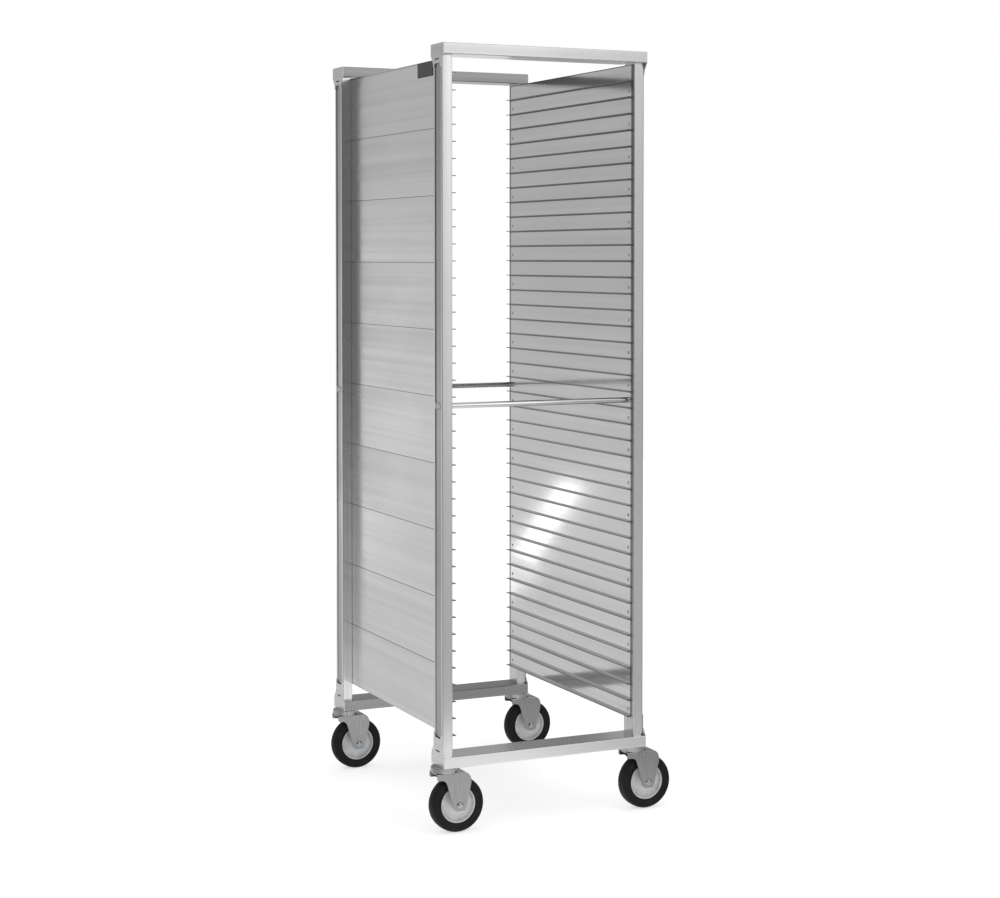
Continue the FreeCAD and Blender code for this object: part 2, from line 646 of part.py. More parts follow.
def wheel_bushing():
    half = [
        (AXLE_RADIUS + RUNNING_CLEARANCE, BUSHING_WIDTH / 2, 0),
        (BUSHING_RADIUS, BUSHING_WIDTH / 2, BUSHING_EDGE_RADIUS),
    ]
    return on_axle(turned(ring_profile(half)))


def wheel_hub():
    """Dished wheel centre: a boss for the bushing, a thin web and a rim for the tyre."""
    inner_rim = HUB_RADIUS - HUB_RIM_THICKNESS
    half = [
        (BUSHING_RADIUS + FIT_CLEARANCE, HUB_BOSS_WIDTH / 2, HUB_EDGE_RADIUS),
        (HUB_BOSS_RADIUS, HUB_BOSS_WIDTH / 2, BOSS_EDGE_RADIUS),
        (HUB_BOSS_RADIUS + BOSS_DRAFT, HUB_WEB_WIDTH / 2, HUB_FILLET_RADIUS),
        (inner_rim, HUB_WEB_WIDTH / 2, HUB_FILLET_RADIUS),
        (inner_rim + HUB_RIM_DRAFT, HUB_WIDTH / 2, HUB_EDGE_RADIUS),
        (HUB_RADIUS, HUB_WIDTH / 2, HUB_EDGE_RADIUS),
    ]
    return on_axle(turned(ring_profile(half)))


def tyre():
    half = [
        (HUB_RADIUS + FIT_CLEARANCE, TREAD_WIDTH / 2, TYRE_LIP_RADIUS),
        (WHEEL_RADIUS, TREAD_WIDTH / 2, TREAD_SHOULDER_RADIUS),
    ]
    return on_axle(turned(ring_profile(half)))


# ------------------------------------------------------------------ the whole rack
def frame_pieces():
    pieces = {}
    for corner, shape in four_corners(post_front_left()).items():
        pieces["post_" + corner] = shape
    bottom_rail = bottom_rail_front()
    top_rail = rail_tube(POST_TOP_Z)
    tie_bar = tie_bar_front()
    pieces["rail_bottom_front"] = bottom_rail
    pieces["rail_bottom_rear"] = at_rear(bottom_rail)
    pieces["rail_top_front"] = top_rail
    pieces["rail_top_rear"] = at_rear(top_rail)
    pieces["tie_bar_front"] = tie_bar
    pieces["tie_bar_rear"] = at_rear(tie_bar)
    for index in range(PANELS_PER_SIDE):
        panel = side_panel_left(index)
        pieces["side_panel_left_%02d" % (index + 1)] = panel
        pieces["side_panel_right_%02d" % (index + 1)] = on_right(panel)
    pieces["corner_plates"] = corner_plates()
    pieces["tie_bar_plates"] = tie_bar_plates()
    pieces["rivets"] = rivets()
    pieces["nameplate"] = nameplate()
    return pieces


def caster_pieces():
    """The pieces of the four casters, which are alike, at their swivel axes."""
    makers = {
        "caster_head_": caster_head,
        "caster_fork_": caster_fork,
        "caster_axle_": caster_axle,
        "wheel_bushing_": wheel_bushing,
        "wheel_hub_": wheel_hub,
        "tyre_": tyre,
    }
    pieces = {}
    nuts = []
    balls = []
    for corner, (x, y) in swivel_axes().items():
        for prefix, maker in makers.items():
            pieces[prefix + corner] = moved(maker(), x, y, 0)
        nuts.append(moved(stem_nut(), x, y, 0))
        balls.extend(moved(ball, x, y, 0) for ball in ball_ring())
    pieces["stem_nuts"] = Part.makeCompound(nuts)
    pieces["swivel_balls"] = Part.makeCompound(balls)
    return pieces


def main():
    os.makedirs("parts", exist_ok=True)
    pieces = frame_pieces()
    pieces.update(caster_pieces())
    for name, shape in pieces.items():
        shape.exportStep("parts/%s.step" % name)
    print("%d nodes written" % len(pieces))


main()
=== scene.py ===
import logging
import math
from dataclasses import dataclass, field
from enum import Enum
from typing import Optional, Sequence, Union

import bmesh
import bpy
import numpy as np
from mathutils import Euler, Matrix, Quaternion, Vector


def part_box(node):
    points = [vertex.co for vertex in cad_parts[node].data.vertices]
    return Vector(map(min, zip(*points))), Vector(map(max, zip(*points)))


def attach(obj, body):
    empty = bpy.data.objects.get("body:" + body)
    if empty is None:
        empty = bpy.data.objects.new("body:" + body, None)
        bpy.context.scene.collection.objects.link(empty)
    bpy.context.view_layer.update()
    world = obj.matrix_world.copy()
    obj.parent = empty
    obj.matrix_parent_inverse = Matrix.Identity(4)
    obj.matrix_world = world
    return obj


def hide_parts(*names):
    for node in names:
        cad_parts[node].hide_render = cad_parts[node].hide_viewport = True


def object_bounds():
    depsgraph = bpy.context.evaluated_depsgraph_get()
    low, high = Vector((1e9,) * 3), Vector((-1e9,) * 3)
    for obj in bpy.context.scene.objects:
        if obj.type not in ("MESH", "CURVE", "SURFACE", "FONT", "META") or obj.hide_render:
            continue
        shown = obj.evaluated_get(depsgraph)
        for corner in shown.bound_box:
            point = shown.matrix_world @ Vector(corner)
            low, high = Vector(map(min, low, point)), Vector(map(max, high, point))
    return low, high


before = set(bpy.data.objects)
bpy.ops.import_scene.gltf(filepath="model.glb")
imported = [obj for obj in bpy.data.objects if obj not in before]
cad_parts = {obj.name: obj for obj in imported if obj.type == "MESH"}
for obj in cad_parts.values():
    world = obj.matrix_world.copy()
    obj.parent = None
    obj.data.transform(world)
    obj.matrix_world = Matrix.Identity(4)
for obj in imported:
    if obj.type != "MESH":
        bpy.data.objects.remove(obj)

CAD_BOX = [list(corner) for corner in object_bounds()]
MM = 0.001
CORNERS = ("front_left", "front_right", "rear_left", "rear_right")
FRAME_BODY = "frame"
WELD_DISTANCE = 1e-6
SHARP_ANGLE = math.radians(32)
BEVEL_ANGLE = math.radians(35)
COPLANAR_ANGLE = math.radians(0.5)

Array = np.ndarray
Colour = tuple[float, float, float]
Zone = tuple[float, float]
log = logging.getLogger("sheet_pan_rack")


class Run(Enum):
    """The axis that a bar, tube or panel runs along, and the order of its other two axes."""

    X = (0, 1, 2)
    Y = (1, 2, 0)
    Z = (2, 0, 1)


# --- shader arithmetic
class Value:
    """A number on its way through a shader. Arithmetic on it adds Math nodes."""

    def __init__(self, shader: "Shader", socket: bpy.types.NodeSocket) -> None:
        """Wraps an output socket of a node in the given shader."""
        self.shader = shader
        self.socket = socket

    def __add__(self, other: "Operand") -> "Value":
        """Sum."""
        return self.shader.maths("ADD", self, other)

    __radd__ = __add__

    def __sub__(self, other: "Operand") -> "Value":
        """Difference."""
        return self.shader.maths("SUBTRACT", self, other)

    def __rsub__(self, other: "Operand") -> "Value":
        """Difference with the number first, as in 1 - mask."""
        return self.shader.maths("SUBTRACT", other, self)

    def __mul__(self, other: "Operand") -> "Value":
        """Product."""
        return self.shader.maths("MULTIPLY", self, other)

    __rmul__ = __mul__

    def __pow__(self, other: "Operand") -> "Value":
        """Power."""
        return self.shader.maths("POWER", self, other)

    def __abs__(self) -> "Value":
        """Distance from zero."""
        return self.shader.maths("ABSOLUTE", self)

    def remainder(self, period: float) -> "Value":
        """What is left of the value after whole periods, from 0 up to the period."""
        return self.shader.maths("FLOORED_MODULO", self, period)

    def step(self, low: float, high: float) -> "Value":
        """Smooth step from 0 at low to 1 at high, or downwards where low is the larger.

        Args:
            low: where the step is 0.
            high: where it is 1.

        Returns:
            The step, 3 t^2 - 2 t^3 for t from 0 to 1 between them.
        """
        flip = low > high
        node = self.shader.node(
            "ShaderNodeMapRange",
            {"interpolation_type": "SMOOTHSTEP"},
            {"Value": self, "From Min": min(low, high), "From Max": max(low, high),
             "To Min": float(flip), "To Max": float(not flip)},
        )
        return Value(self.shader, node.outputs[0])


Operand = Union[Value, float]


class Shader:
    """A node tree being wired: one method adds any node, a few more give common values."""

    def __init__(self, tree: bpy.types.NodeTree) -> None:
        """Takes an empty or emptied node tree."""
        self.tree = tree
        tree.nodes.clear()

    def node(
        self,
        kind: str,
        settings: Optional[dict] = None,
        inputs: Optional[dict] = None,
    ) -> bpy.types.Node:
        """Adds a node.

        Args:
            kind: the node's type name.
            settings: its properties, set first.
            inputs: values or links by socket name or number.

        Returns:
            The new node.
        """
        node = self.tree.nodes.new(kind)
        for name, setting in (settings or {}).items():
            setattr(node, name, setting)
        for name, source in (inputs or {}).items():
            self.feed(node.inputs[name], source)
        return node

    def feed(self, socket: bpy.types.NodeSocket, source: object) -> None:
        """Links something to an input socket, or sets the input's own number.

        Args:
            socket: the input.
            source: a value, an output, or the input's own number.
        """
        if isinstance(source, Value):
            source = source.socket
        if isinstance(source, bpy.types.NodeSocket):
            self.tree.links.new(source, socket)
        else:
            socket.default_value = source

    def maths(self, operation: str, *operands: Operand) -> Value:
        """Adds a Math node on one or two operands and gives its result."""
        inputs = dict(enumerate(operands))
        return Value(self, self.node("ShaderNodeMath", {"operation": operation}, inputs).outputs[0])

    def place(self) -> bpy.types.NodeSocket:
        """The point on the object in metres, in the rack's own frame."""
        return self.node("ShaderNodeTexCoord").outputs["Object"]

    def scaled(
        self,
        scale: Sequence[float],
        offset: Sequence[float] = (0.0, 0.0, 0.0),
    ) -> bpy.types.NodeSocket:
        """The point on the object, moved by an offset and then stretched along each axis.

        Args:
            scale: stretch along x, y and z.
            offset: what is added first, in metres.

        Returns:
            The vector.
        """
        shifted = self.node(
            "ShaderNodeVectorMath", {"operation": "ADD"}, {0: self.place(), 1: tuple(offset)}
        )
        node = self.node(
            "ShaderNodeMapping",
            {"vector_type": "POINT"},
            {"Vector": shifted.outputs[0], "Scale": tuple(scale)},
        )
        return node.outputs[0]

    def axes(self, point: bpy.types.NodeSocket) -> tuple[Value, Value, Value]:
        """The three coordinates of a point."""
        node = self.node("ShaderNodeSeparateXYZ", None, {0: point})
        return tuple(Value(self, output) for output in node.outputs)

    def from_axle(self, centre: Sequence[float]) -> Value:
        """Distance from the horizontal axis along y that runs through a wheel's centre."""
        x, _, z = self.axes(self.scaled((1.0, 1.0, 1.0), tuple(-part for part in centre)))
        return (x * x + z * z) ** 0.5

    def noise(
        self,
        point: bpy.types.NodeSocket,
        scale: float = 1.0,
        detail: float = 2.0,
        roughness: float = 0.5,
    ) -> Value:
        """Soft noise around 0.5.

        Args:
            point: where it is read.
            scale: its frequency.
            detail: octaves.
            roughness: weight of the finer octaves.

        Returns:
            The noise.
        """
        node = self.node(
            "ShaderNodeTexNoise",
            {"noise_dimensions": "3D"},
            {"Vector": point, "Scale": scale, "Detail": detail, "Roughness": roughness},
        )
        return Value(self, node.outputs[0])

    def mixed(self, low: object, high: object, factor: Operand) -> bpy.types.NodeSocket:
        """Colour between low and high by a factor; either may be a colour or a link.

        Args:
            low: the colour at factor 0.
            high: the colour at factor 1.
            factor: how far from low to high.

        Returns:
            The colour.
        """
        inputs = {0: factor, 6: low, 7: high}
        for key in (6, 7):
            if not isinstance(inputs[key], bpy.types.NodeSocket):
                inputs[key] = (*inputs[key], 1.0)
        node = self.node("ShaderNodeMix", {"data_type": "RGBA", "clamp_factor": True}, inputs)
        return node.outputs[2]

    def bump(self, height: Value, distance: float, strength: float = 1.0) -> bpy.types.NodeSocket:
        """Normal disturbed by a height between 0 and 1 that stands for a distance in metres."""
        inputs = {"Height": height, "Distance": distance, "Strength": strength}
        return self.node("ShaderNodeBump", None, inputs).outputs[0]

    def surface(self, inputs: dict) -> None:
        """Ends the shader in a Principled surface with the given inputs."""
        principled = self.node("ShaderNodeBsdfPrincipled", None, inputs)
        self.node("ShaderNodeOutputMaterial", None, {"Surface": principled.outputs[0]})


class Finish:
    """A finish that can be put on a piece. A subclass fills in the wiring."""

    def wire(self, shader: Shader) -> None:
        """Adds the finish's nodes to an empty shader."""
        raise NotImplementedError

    def material(self, name: str) -> bpy.types.Material:
        """Makes the material, or gives back the one already made under this name.

        Args:
            name: the material's name.

        Returns:
            The material.
        """
        made = bpy.data.materials.get(name)
        if made is None:
            made = bpy.data.materials.new(name)
            made.use_nodes = True
            self.wire(Shader(made.node_tree))
        return made


# --- finishes
class Grain(Enum):
    """Direction of a brushed or drawn grain, as the stretch of its pattern along x, y and z."""

    ALONG_X = (0.006, 1.0, 1.0)
    ALONG_Y = (1.0, 0.006, 1.0)
    ALONG_Z = (1.0, 1.0, 0.006)

    def scale(self, per_metre: float) -> tuple[float, ...]:
        """Pattern scale whose lines lie per_metre to the metre across the grain."""
        return tuple(per_metre * stretch for stretch in self.value)


@dataclass(frozen=True)
class BrushedAluminium(Finish):
    """Extruded aluminium with a light brushed grain, cloudy handling marks and fine rubs."""

    grain: Grain
    tone: float = 0.80
    roughness: float = 0.27
    anisotropy: float = 0.0
    turn: float = 0.25
    streaks: float = 0.05
    offset: tuple[float, float, float] = (0.0, 0.0, 0.0)

    def polish(self, shader: Shader) -> Operand:
        """How much smoother the metal is at a point than elsewhere."""
        return 0.0

    def colour(self, shader: Shader, streak: Value, cloud: Value) -> object:
        """Metal colour, a little darker in streaks and clouds.

        Args:
            shader: takes the nodes.
            streak: noise along the grain.
            cloud: broad noise.

        Returns:
            The colour.
        """
        bright = (self.tone, self.tone * 1.004, self.tone * 1.008)
        dull = tuple(part * (1.0 - 3.0 * self.streaks) for part in bright)
        return shader.mixed(bright, dull, (streak * 0.6 + cloud * 0.4).step(0.30, 0.75))

    def wire(self, shader: Shader) -> None:
        """Grain bump, streaked colour, and roughness that follows grain, clouds and rubs.

        Args:
            shader: takes the nodes.
        """
        coarse = shader.noise(shader.scaled(self.grain.scale(260.0), self.offset), detail=3.0)
        fine = shader.noise(shader.scaled(self.grain.scale(1500.0), self.offset), detail=1.0)
        streak = shader.noise(shader.scaled(self.grain.scale(60.0), self.offset), detail=4.0)
        cloud = shader.noise(shader.scaled((2.2, 2.2, 3.0), self.offset), detail=4.0)
        rub = shader.noise(shader.scaled((24.0, 9.0, 40.0), self.offset), detail=6.0, roughness=0.7)
        rough = (
            self.roughness
            + (streak - 0.5) * 0.16
            + cloud.step(0.45, 0.75) * 0.07
            - rub.step(0.50, 0.80) * 0.03
            - self.polish(shader)
        )
        shader.surface({
            "Base Color": self.colour(shader, streak, cloud),
            "Metallic": 1.0,
            "Roughness": rough,
            "Anisotropic": self.anisotropy,
            "Anisotropic Rotation": self.turn,
            "Normal": shader.bump(coarse * 0.65 + fine * 0.35, 0.02 * MM, 0.18),
        })


@dataclass(frozen=True)
class PostAluminium(BrushedAluminium):
    """Post extrusion: brushed, with painted shade and grime in the channel down its outer side."""

    channel_floor: float = 0.0
    # Colour of the painted shade and grime in the channel.
    shade_and_grime: Colour = (0.30, 0.30, 0.31)

    def colour(self, shader: Shader, streak: Value, cloud: Value) -> object:
        """Brushed colour, darkened unevenly on the channel's floor: painted shade and grime in the
        recess.

        Args:
            shader: takes the nodes.
            streak: noise along the grain.
            cloud: broad noise.

        Returns:
            The colour.
        """
        metal = super().colour(shader, streak, cloud)
        x, _, _ = shader.axes(shader.place())
        # Painted shade: the channel floor is darkened, unevenly, where shade falls in the recess.
        painted_darkening = abs(x - self.channel_floor).step(0.8 * MM, 0.3 * MM)
        return shader.mixed(metal, self.shade_and_grime, painted_darkening * (0.45 + cloud * 0.5))


@dataclass(frozen=True)
class PanelAluminium(BrushedAluminium):
    """Side panel extrusion: brushed, with dark seam lines and painted shade under the ledges, on their
    tips and at the posts.
    """

    web_face: float = 0.0
    tip: float = 0.0
    half_length: float = 0.337
    inward: float = 1.0
    base: float = 0.0
    pitch: float = 0.0381
    seam_every: float = 0.1524
    seam_height: float = -0.0027
    # Dark colour of the seam lines and of the painted shade under the ledges, on their tips and at the
    # posts.
    shade_and_grime: Colour = (0.05, 0.05, 0.052)
    ledge_shade_width: float = 3.4 * MM
    seam_width: float = 1.6 * MM
    tip_shade_width: float = 1.6 * MM
    post_shade_width: float = 10.0 * MM

    def inside(self, shader: Shader) -> Value:
        """One on the inner face and the ledges, nought on the outer face."""
        x, _, _ = shader.axes(shader.place())
        return ((x - self.web_face) * self.inward).step(-0.6 * MM, -0.2 * MM)

    def polish(self, shader: Shader) -> Operand:
        """The inner face is worn smoother by the pans that pass it."""
        return self.inside(shader) * 0.13

    def colour(self, shader: Shader, streak: Value, cloud: Value) -> object:
        """Brushed colour with dark lines at seams, and painted shade under ledges, on their tips and
        at the posts.

        Args:
            shader: takes the nodes.
            streak: noise along the grain.
            cloud: broad noise.

        Returns:
            The colour.
        """
        metal = super().colour(shader, streak, cloud)
        x, y, z = shader.axes(shader.place())
        inside = self.inside(shader)
        up = z - self.base
        below_ledge = (up * -1.0).remainder(self.pitch)
        # Painted shadow: a dark line on the inner face just under each ledge, where its shade falls.
        corner = below_ledge.step(self.ledge_shade_width, 0.6 * MM) * inside
        from_seam = abs((up - self.seam_height + self.seam_every / 2).remainder(self.seam_every)
                        - self.seam_every / 2)
        seam = from_seam.step(self.seam_width, 0.4 * MM) * (1.0 - inside)
        # Painted shade: the ledge tips are darkened to stand for the shade beneath each ledge.
        tip_shade = ((x - self.tip) * self.inward).step(-self.tip_shade_width, -0.6 * MM)
        # Painted shade: the inner face is darkened near each end, where the panel meets the post.
        post_shade_start = self.half_length - self.post_shade_width
        end = abs(y).step(post_shade_start, post_shade_start + self.post_shade_width / 2) * inside
        # The seam lines are dark joints; the other three marks are painted shade.
        painted_darkening = corner * 0.92 + seam * 0.55 + tip_shade * 0.8 + end * 0.8
        return shader.mixed(metal, self.shade_and_grime, painted_darkening)


@dataclass(frozen=True)
class ZincPlate(Finish):
    """Bright zinc-plated pressed steel: mottled, faintly warm and cool, with drawn marks."""

    tone: float = 0.55
    roughness: float = 0.30

    def wire(self, shader: Shader) -> None:
        """Mottled colour and roughness, drawing marks down the metal and a fine orange peel.

        Args:
            shader: takes the nodes.
        """
        mottle = shader.noise(shader.scaled((140.0, 140.0, 140.0)), detail=5.0, roughness=0.65)
        tint = shader.noise(shader.scaled((22.0, 22.0, 30.0)), detail=3.0)
        drawn = shader.noise(shader.scaled((700.0, 700.0, 24.0)), detail=2.0)
        cool = (self.tone * 0.98, self.tone, self.tone * 1.03)
        warm = (self.tone * 1.02, self.tone * 1.01, self.tone * 0.97)
        colour = shader.mixed(cool, warm, tint.step(0.35, 0.7))
        colour = shader.mixed(colour, tuple(part * 0.6 for part in cool), drawn.step(0.40, 0.65) * 0.3)
        dull = tuple(part * 0.75 for part in cool)
        shader.surface({
            "Base Color": shader.mixed(colour, dull, mottle.step(0.50, 0.85) * 0.6),
            "Metallic": 1.0,
            "Roughness": self.roughness + (mottle - 0.5) * 0.10 + (drawn - 0.5) * 0.08,
            "Normal": shader.bump(mottle * 0.5 + drawn * 0.5, 0.02 * MM, 0.2),
        })


@dataclass(frozen=True)
class PolishedSteel(Finish):
    """Hardened bearing steel or a worn rivet head: smooth with fine turning lines."""

    tone: float = 0.62
    roughness: float = 0.16

    def wire(self, shader: Shader) -> None:
        """Fine scratches in the roughness and a faint stain in the colour.

        Args:
            shader: takes the nodes.
        """
        scratch = shader.noise(shader.scaled((900.0, 900.0, 120.0)), detail=3.0)
        stain = shader.noise(shader.scaled((90.0, 90.0, 90.0)), detail=3.0)
        clean = (self.tone, self.tone, self.tone * 1.01)
        stained = (self.tone * 0.72, self.tone * 0.70, self.tone * 0.68)
        shader.surface({
            "Base Color": shader.mixed(clean, stained, stain.step(0.5, 0.8)),
            "Metallic": 1.0,
            "Roughness": self.roughness + scratch * 0.16,
            "Normal": shader.bump(scratch, 0.01 * MM, 0.3),
        })


@dataclass(frozen=True)
class TyreRubber(Finish):
    """Black rubber tyre: dusty flanks, a scuffed tread and fine mould texture."""

    centre: tuple[float, float, float]
    tread_radius: float
    rubber: Colour = (0.006, 0.006, 0.007)
    dusty: Colour = (0.020, 0.019, 0.018)
    scuffed: Colour = (0.036, 0.035, 0.033)
    rings_per_metre: float = 5200.0

    def wire(self, shader: Shader) -> None:
        """Scuffs grow towards the tread, dust lies in broad patches over the flanks.

        Args:
            shader: takes the nodes.
        """
        radius = shader.from_axle(self.centre)
        tread = radius.step(self.tread_radius - 6.0 * MM, self.tread_radius - 1.0 * MM)
        dust = shader.noise(shader.scaled((45.0, 45.0, 45.0)), detail=5.0, roughness=0.6)
        grit = shader.noise(shader.scaled((900.0, 900.0, 900.0)), detail=3.0)
        scuff = shader.noise(shader.scaled((160.0, 420.0, 160.0)), detail=4.0, roughness=0.7)
        worn = tread * scuff.step(0.42, 0.66)
        rings = shader.maths("SINE", radius * self.rings_per_metre) * 0.5 + 0.5
        colour = shader.mixed(self.rubber, self.dusty, dust.step(0.48, 0.8))
        shader.surface({
            "Base Color": shader.mixed(colour, self.scuffed, worn * 0.7),
            "Roughness": 0.58 + worn * 0.25 + (dust - 0.5) * 0.2,
            "Specular IOR Level": 0.22,
            "Normal": shader.bump(grit * 0.6 + rings * (1.0 - tread) * 0.4, 0.12 * MM, 0.5),
        })


@dataclass(frozen=True)
class MouldedGrey(Finish):
    """Light grey moulded wheel centre with handling scuffs and dust in the dish."""

    centre: tuple[float, float, float]
    rim_radius: float
    moulded: Colour = (0.72, 0.73, 0.74)
    scuffed: Colour = (0.60, 0.605, 0.61)
    dusty: Colour = (0.34, 0.335, 0.32)

    def wire(self, shader: Shader) -> None:
        """Greyer dust towards the rim, small scuffs, and a fine moulded texture.

        Args:
            shader: takes the nodes.
        """
        radius = shader.from_axle(self.centre)
        patch = shader.noise(shader.scaled((60.0, 60.0, 60.0)), detail=5.0, roughness=0.6)
        scuff = shader.noise(shader.scaled((500.0, 500.0, 90.0)), detail=3.0)
        texture = shader.noise(shader.scaled((1100.0, 1100.0, 1100.0)), detail=2.0)
        dust = radius.step(self.rim_radius * 0.55, self.rim_radius) * patch.step(0.35, 0.7)
        clean = shader.mixed(self.moulded, self.scuffed, scuff.step(0.62, 0.75))
        shader.surface({
            "Base Color": shader.mixed(clean, self.dusty, dust * 0.55),
            "Roughness": 0.36 + dust * 0.3 + (scuff - 0.5) * 0.15,
            "Specular IOR Level": 0.5,
            "Normal": shader.bump(texture, 0.05 * MM, 0.4),
        })


@dataclass(frozen=True)
class DarkEnamel(Finish):
    """Blank dark nameplate: satin enamel inside a narrow bare border."""

    low: tuple[float, float, float]
    high: tuple[float, float, float]
    border: float = 2.2 * MM
    rim: Colour = (0.02, 0.02, 0.02)
    enamel: Colour = (0.075, 0.073, 0.074)
    worn: Colour = (0.12, 0.118, 0.116)

    def wire(self, shader: Shader) -> None:
        """The border is where the point is near the plate's edge along y or z.

        Args:
            shader: takes the nodes.
        """
        _, y, z = shader.axes(shader.place())
        inside = 1.0
        for from_edge in (y - self.low[1], self.high[1] - y, z - self.low[2], self.high[2] - z):
            inside = from_edge.step(self.border * 0.8, self.border) * inside
        speck = shader.noise(shader.scaled((1300.0, 1300.0, 1300.0)), detail=2.0)
        wear = shader.noise(shader.scaled((80.0, 50.0, 160.0)), detail=5.0, roughness=0.65)
        enamel = shader.mixed(self.enamel, self.worn, wear.step(0.5, 0.75))
        shader.surface({
            "Base Color": shader.mixed(self.rim, enamel, inside),
            "Roughness": 0.42 + (wear - 0.5) * 0.3,
            "Specular IOR Level": 0.4,
            "Normal": shader.bump(speck * 0.5 + inside * 0.5, 0.08 * MM, 0.6),
        })


@dataclass(frozen=True)
class PaleFloor(Finish):
    """Studio floor: white where it is looked at, mirrored as a grey, palest at the front rail."""

    glow: float = 0.62
    mirrored_front: float = 0.42
    mirrored_near: float = 1.00
    mirrored_rear: float = 0.60
    white: Colour = (0.86, 0.86, 0.865)
    patched: Colour = (0.84, 0.84, 0.845)
    mirrored_white: Colour = (0.04, 0.04, 0.04)
    near_start: Zone = (-1.45, -1.05)
    near_right: Zone = (0.8, 0.0)
    near_left: Zone = (-0.9, -0.5)
    rear_start: Zone = (-0.4, 0.6)

    def wire(self, shader: Shader) -> None:
        """White matt surface with some glow; in mirrored light only the glow counts.

        Args:
            shader: takes the nodes.
        """
        patch = shader.noise(shader.scaled((0.8, 0.8, 0.8)), detail=3.0)
        white = shader.mixed(self.white, self.patched, patch)
        x, y, _ = shader.axes(shader.place())
        near = y.step(*self.near_start) * x.step(*self.near_right) * x.step(*self.near_left)
        mirrored = self.mirrored_front + near * (self.mirrored_near - self.mirrored_front)
        mirrored = mirrored + y.step(*self.rear_start) * (self.mirrored_rear - mirrored)
        seen = Value(shader, shader.node("ShaderNodeLightPath").outputs["Is Camera Ray"])
        glow = (self.glow, self.glow, self.glow)
        shader.surface({
            "Base Color": shader.mixed(self.mirrored_white, white, seen),
            "Roughness": 0.85 + (patch - 0.5) * 0.05,
            "Emission Color": shader.mixed(mirrored.socket, glow, seen),
            "Emission Strength": 1.0,
        })


# --- surfaces
def rounded_loop(corners: Array, radii: Array, steps: int = 5) -> Array:
    """Closed outline with each corner rounded by an arc.

    The arc's centre lies on the corner's bisector, radius / sin(half angle) from the corner,
    and its points turn evenly from one tangent point to the other.

    Args:
        corners: N x 2 corner points in order.
        radii: N radii, all above zero.
        steps: points on each arc.

    Returns:
        N * steps points, N * steps x 2.
    """
    back = np.roll(corners, 1, axis=0) - corners
    ahead = np.roll(corners, -1, axis=0) - corners
    back /= np.linalg.norm(back, axis=1, keepdims=True)
    ahead /= np.linalg.norm(ahead, axis=1, keepdims=True)
    half = np.arccos(np.clip(np.sum(back * ahead, axis=1), -1.0, 1.0)) / 2
    bisector = back + ahead
    bisector /= np.linalg.norm(bisector, axis=1, keepdims=True)
    centre = corners + bisector * (radii / np.sin(half))[:, None]
    reach = (radii / np.tan(half))[:, None]
    start = corners + back * reach - centre
    end = corners + ahead * reach - centre
    sweep = (math.pi - 2 * half)[:, None, None]
    turn = np.linspace(0.0, 1.0, steps)[None, :, None]
    arc = (np.sin((1 - turn) * sweep) * start[:, None] + np.sin(turn * sweep) * end[:, None])
    points = centre[:, None] + arc / np.sin(sweep)
    return points.reshape(-1, 2)


def inset(loop: Array, distance: float) -> Array:
    """Closed anticlockwise outline moved inwards by a distance along its mitred normals.

    Args:
        loop: N x 2 points.
        distance: how far each edge moves.

    Returns:
        N x 2 points.
    """
    edge = np.roll(loop, -1, axis=0) - loop
    edge /= np.linalg.norm(edge, axis=1, keepdims=True)
    inward = np.stack([-edge[:, 1], edge[:, 0]], axis=1)
    before = np.roll(inward, 1, axis=0)
    mitre = (inward + before) / (1.0 + np.sum(inward * before, axis=1, keepdims=True))
    return loop + mitre * distance


def grid_faces(rows: int, columns: int, wrap_rows: bool, wrap_columns: bool) -> Array:
    """Four point numbers of every cell of a grid, wrapped round where it closes on itself.

    Args:
        rows: points down the grid.
        columns: points across it.
        wrap_rows: whether the last row meets the first.
        wrap_columns: whether the last column meets the first.

    Returns:
        Cells x 4 point numbers.
    """
    row = np.arange(rows if wrap_rows else rows - 1)[:, None]
    column = np.arange(columns if wrap_columns else columns - 1)[None, :]
    next_row = (row + 1) % rows
    next_column = (column + 1) % columns
    cells = [
        row * columns + column,
        row * columns + next_column,
        next_row * columns + next_column,
        next_row * columns + column,
    ]
    return np.stack(np.broadcast_arrays(*cells), axis=-1).reshape(-1, 4)


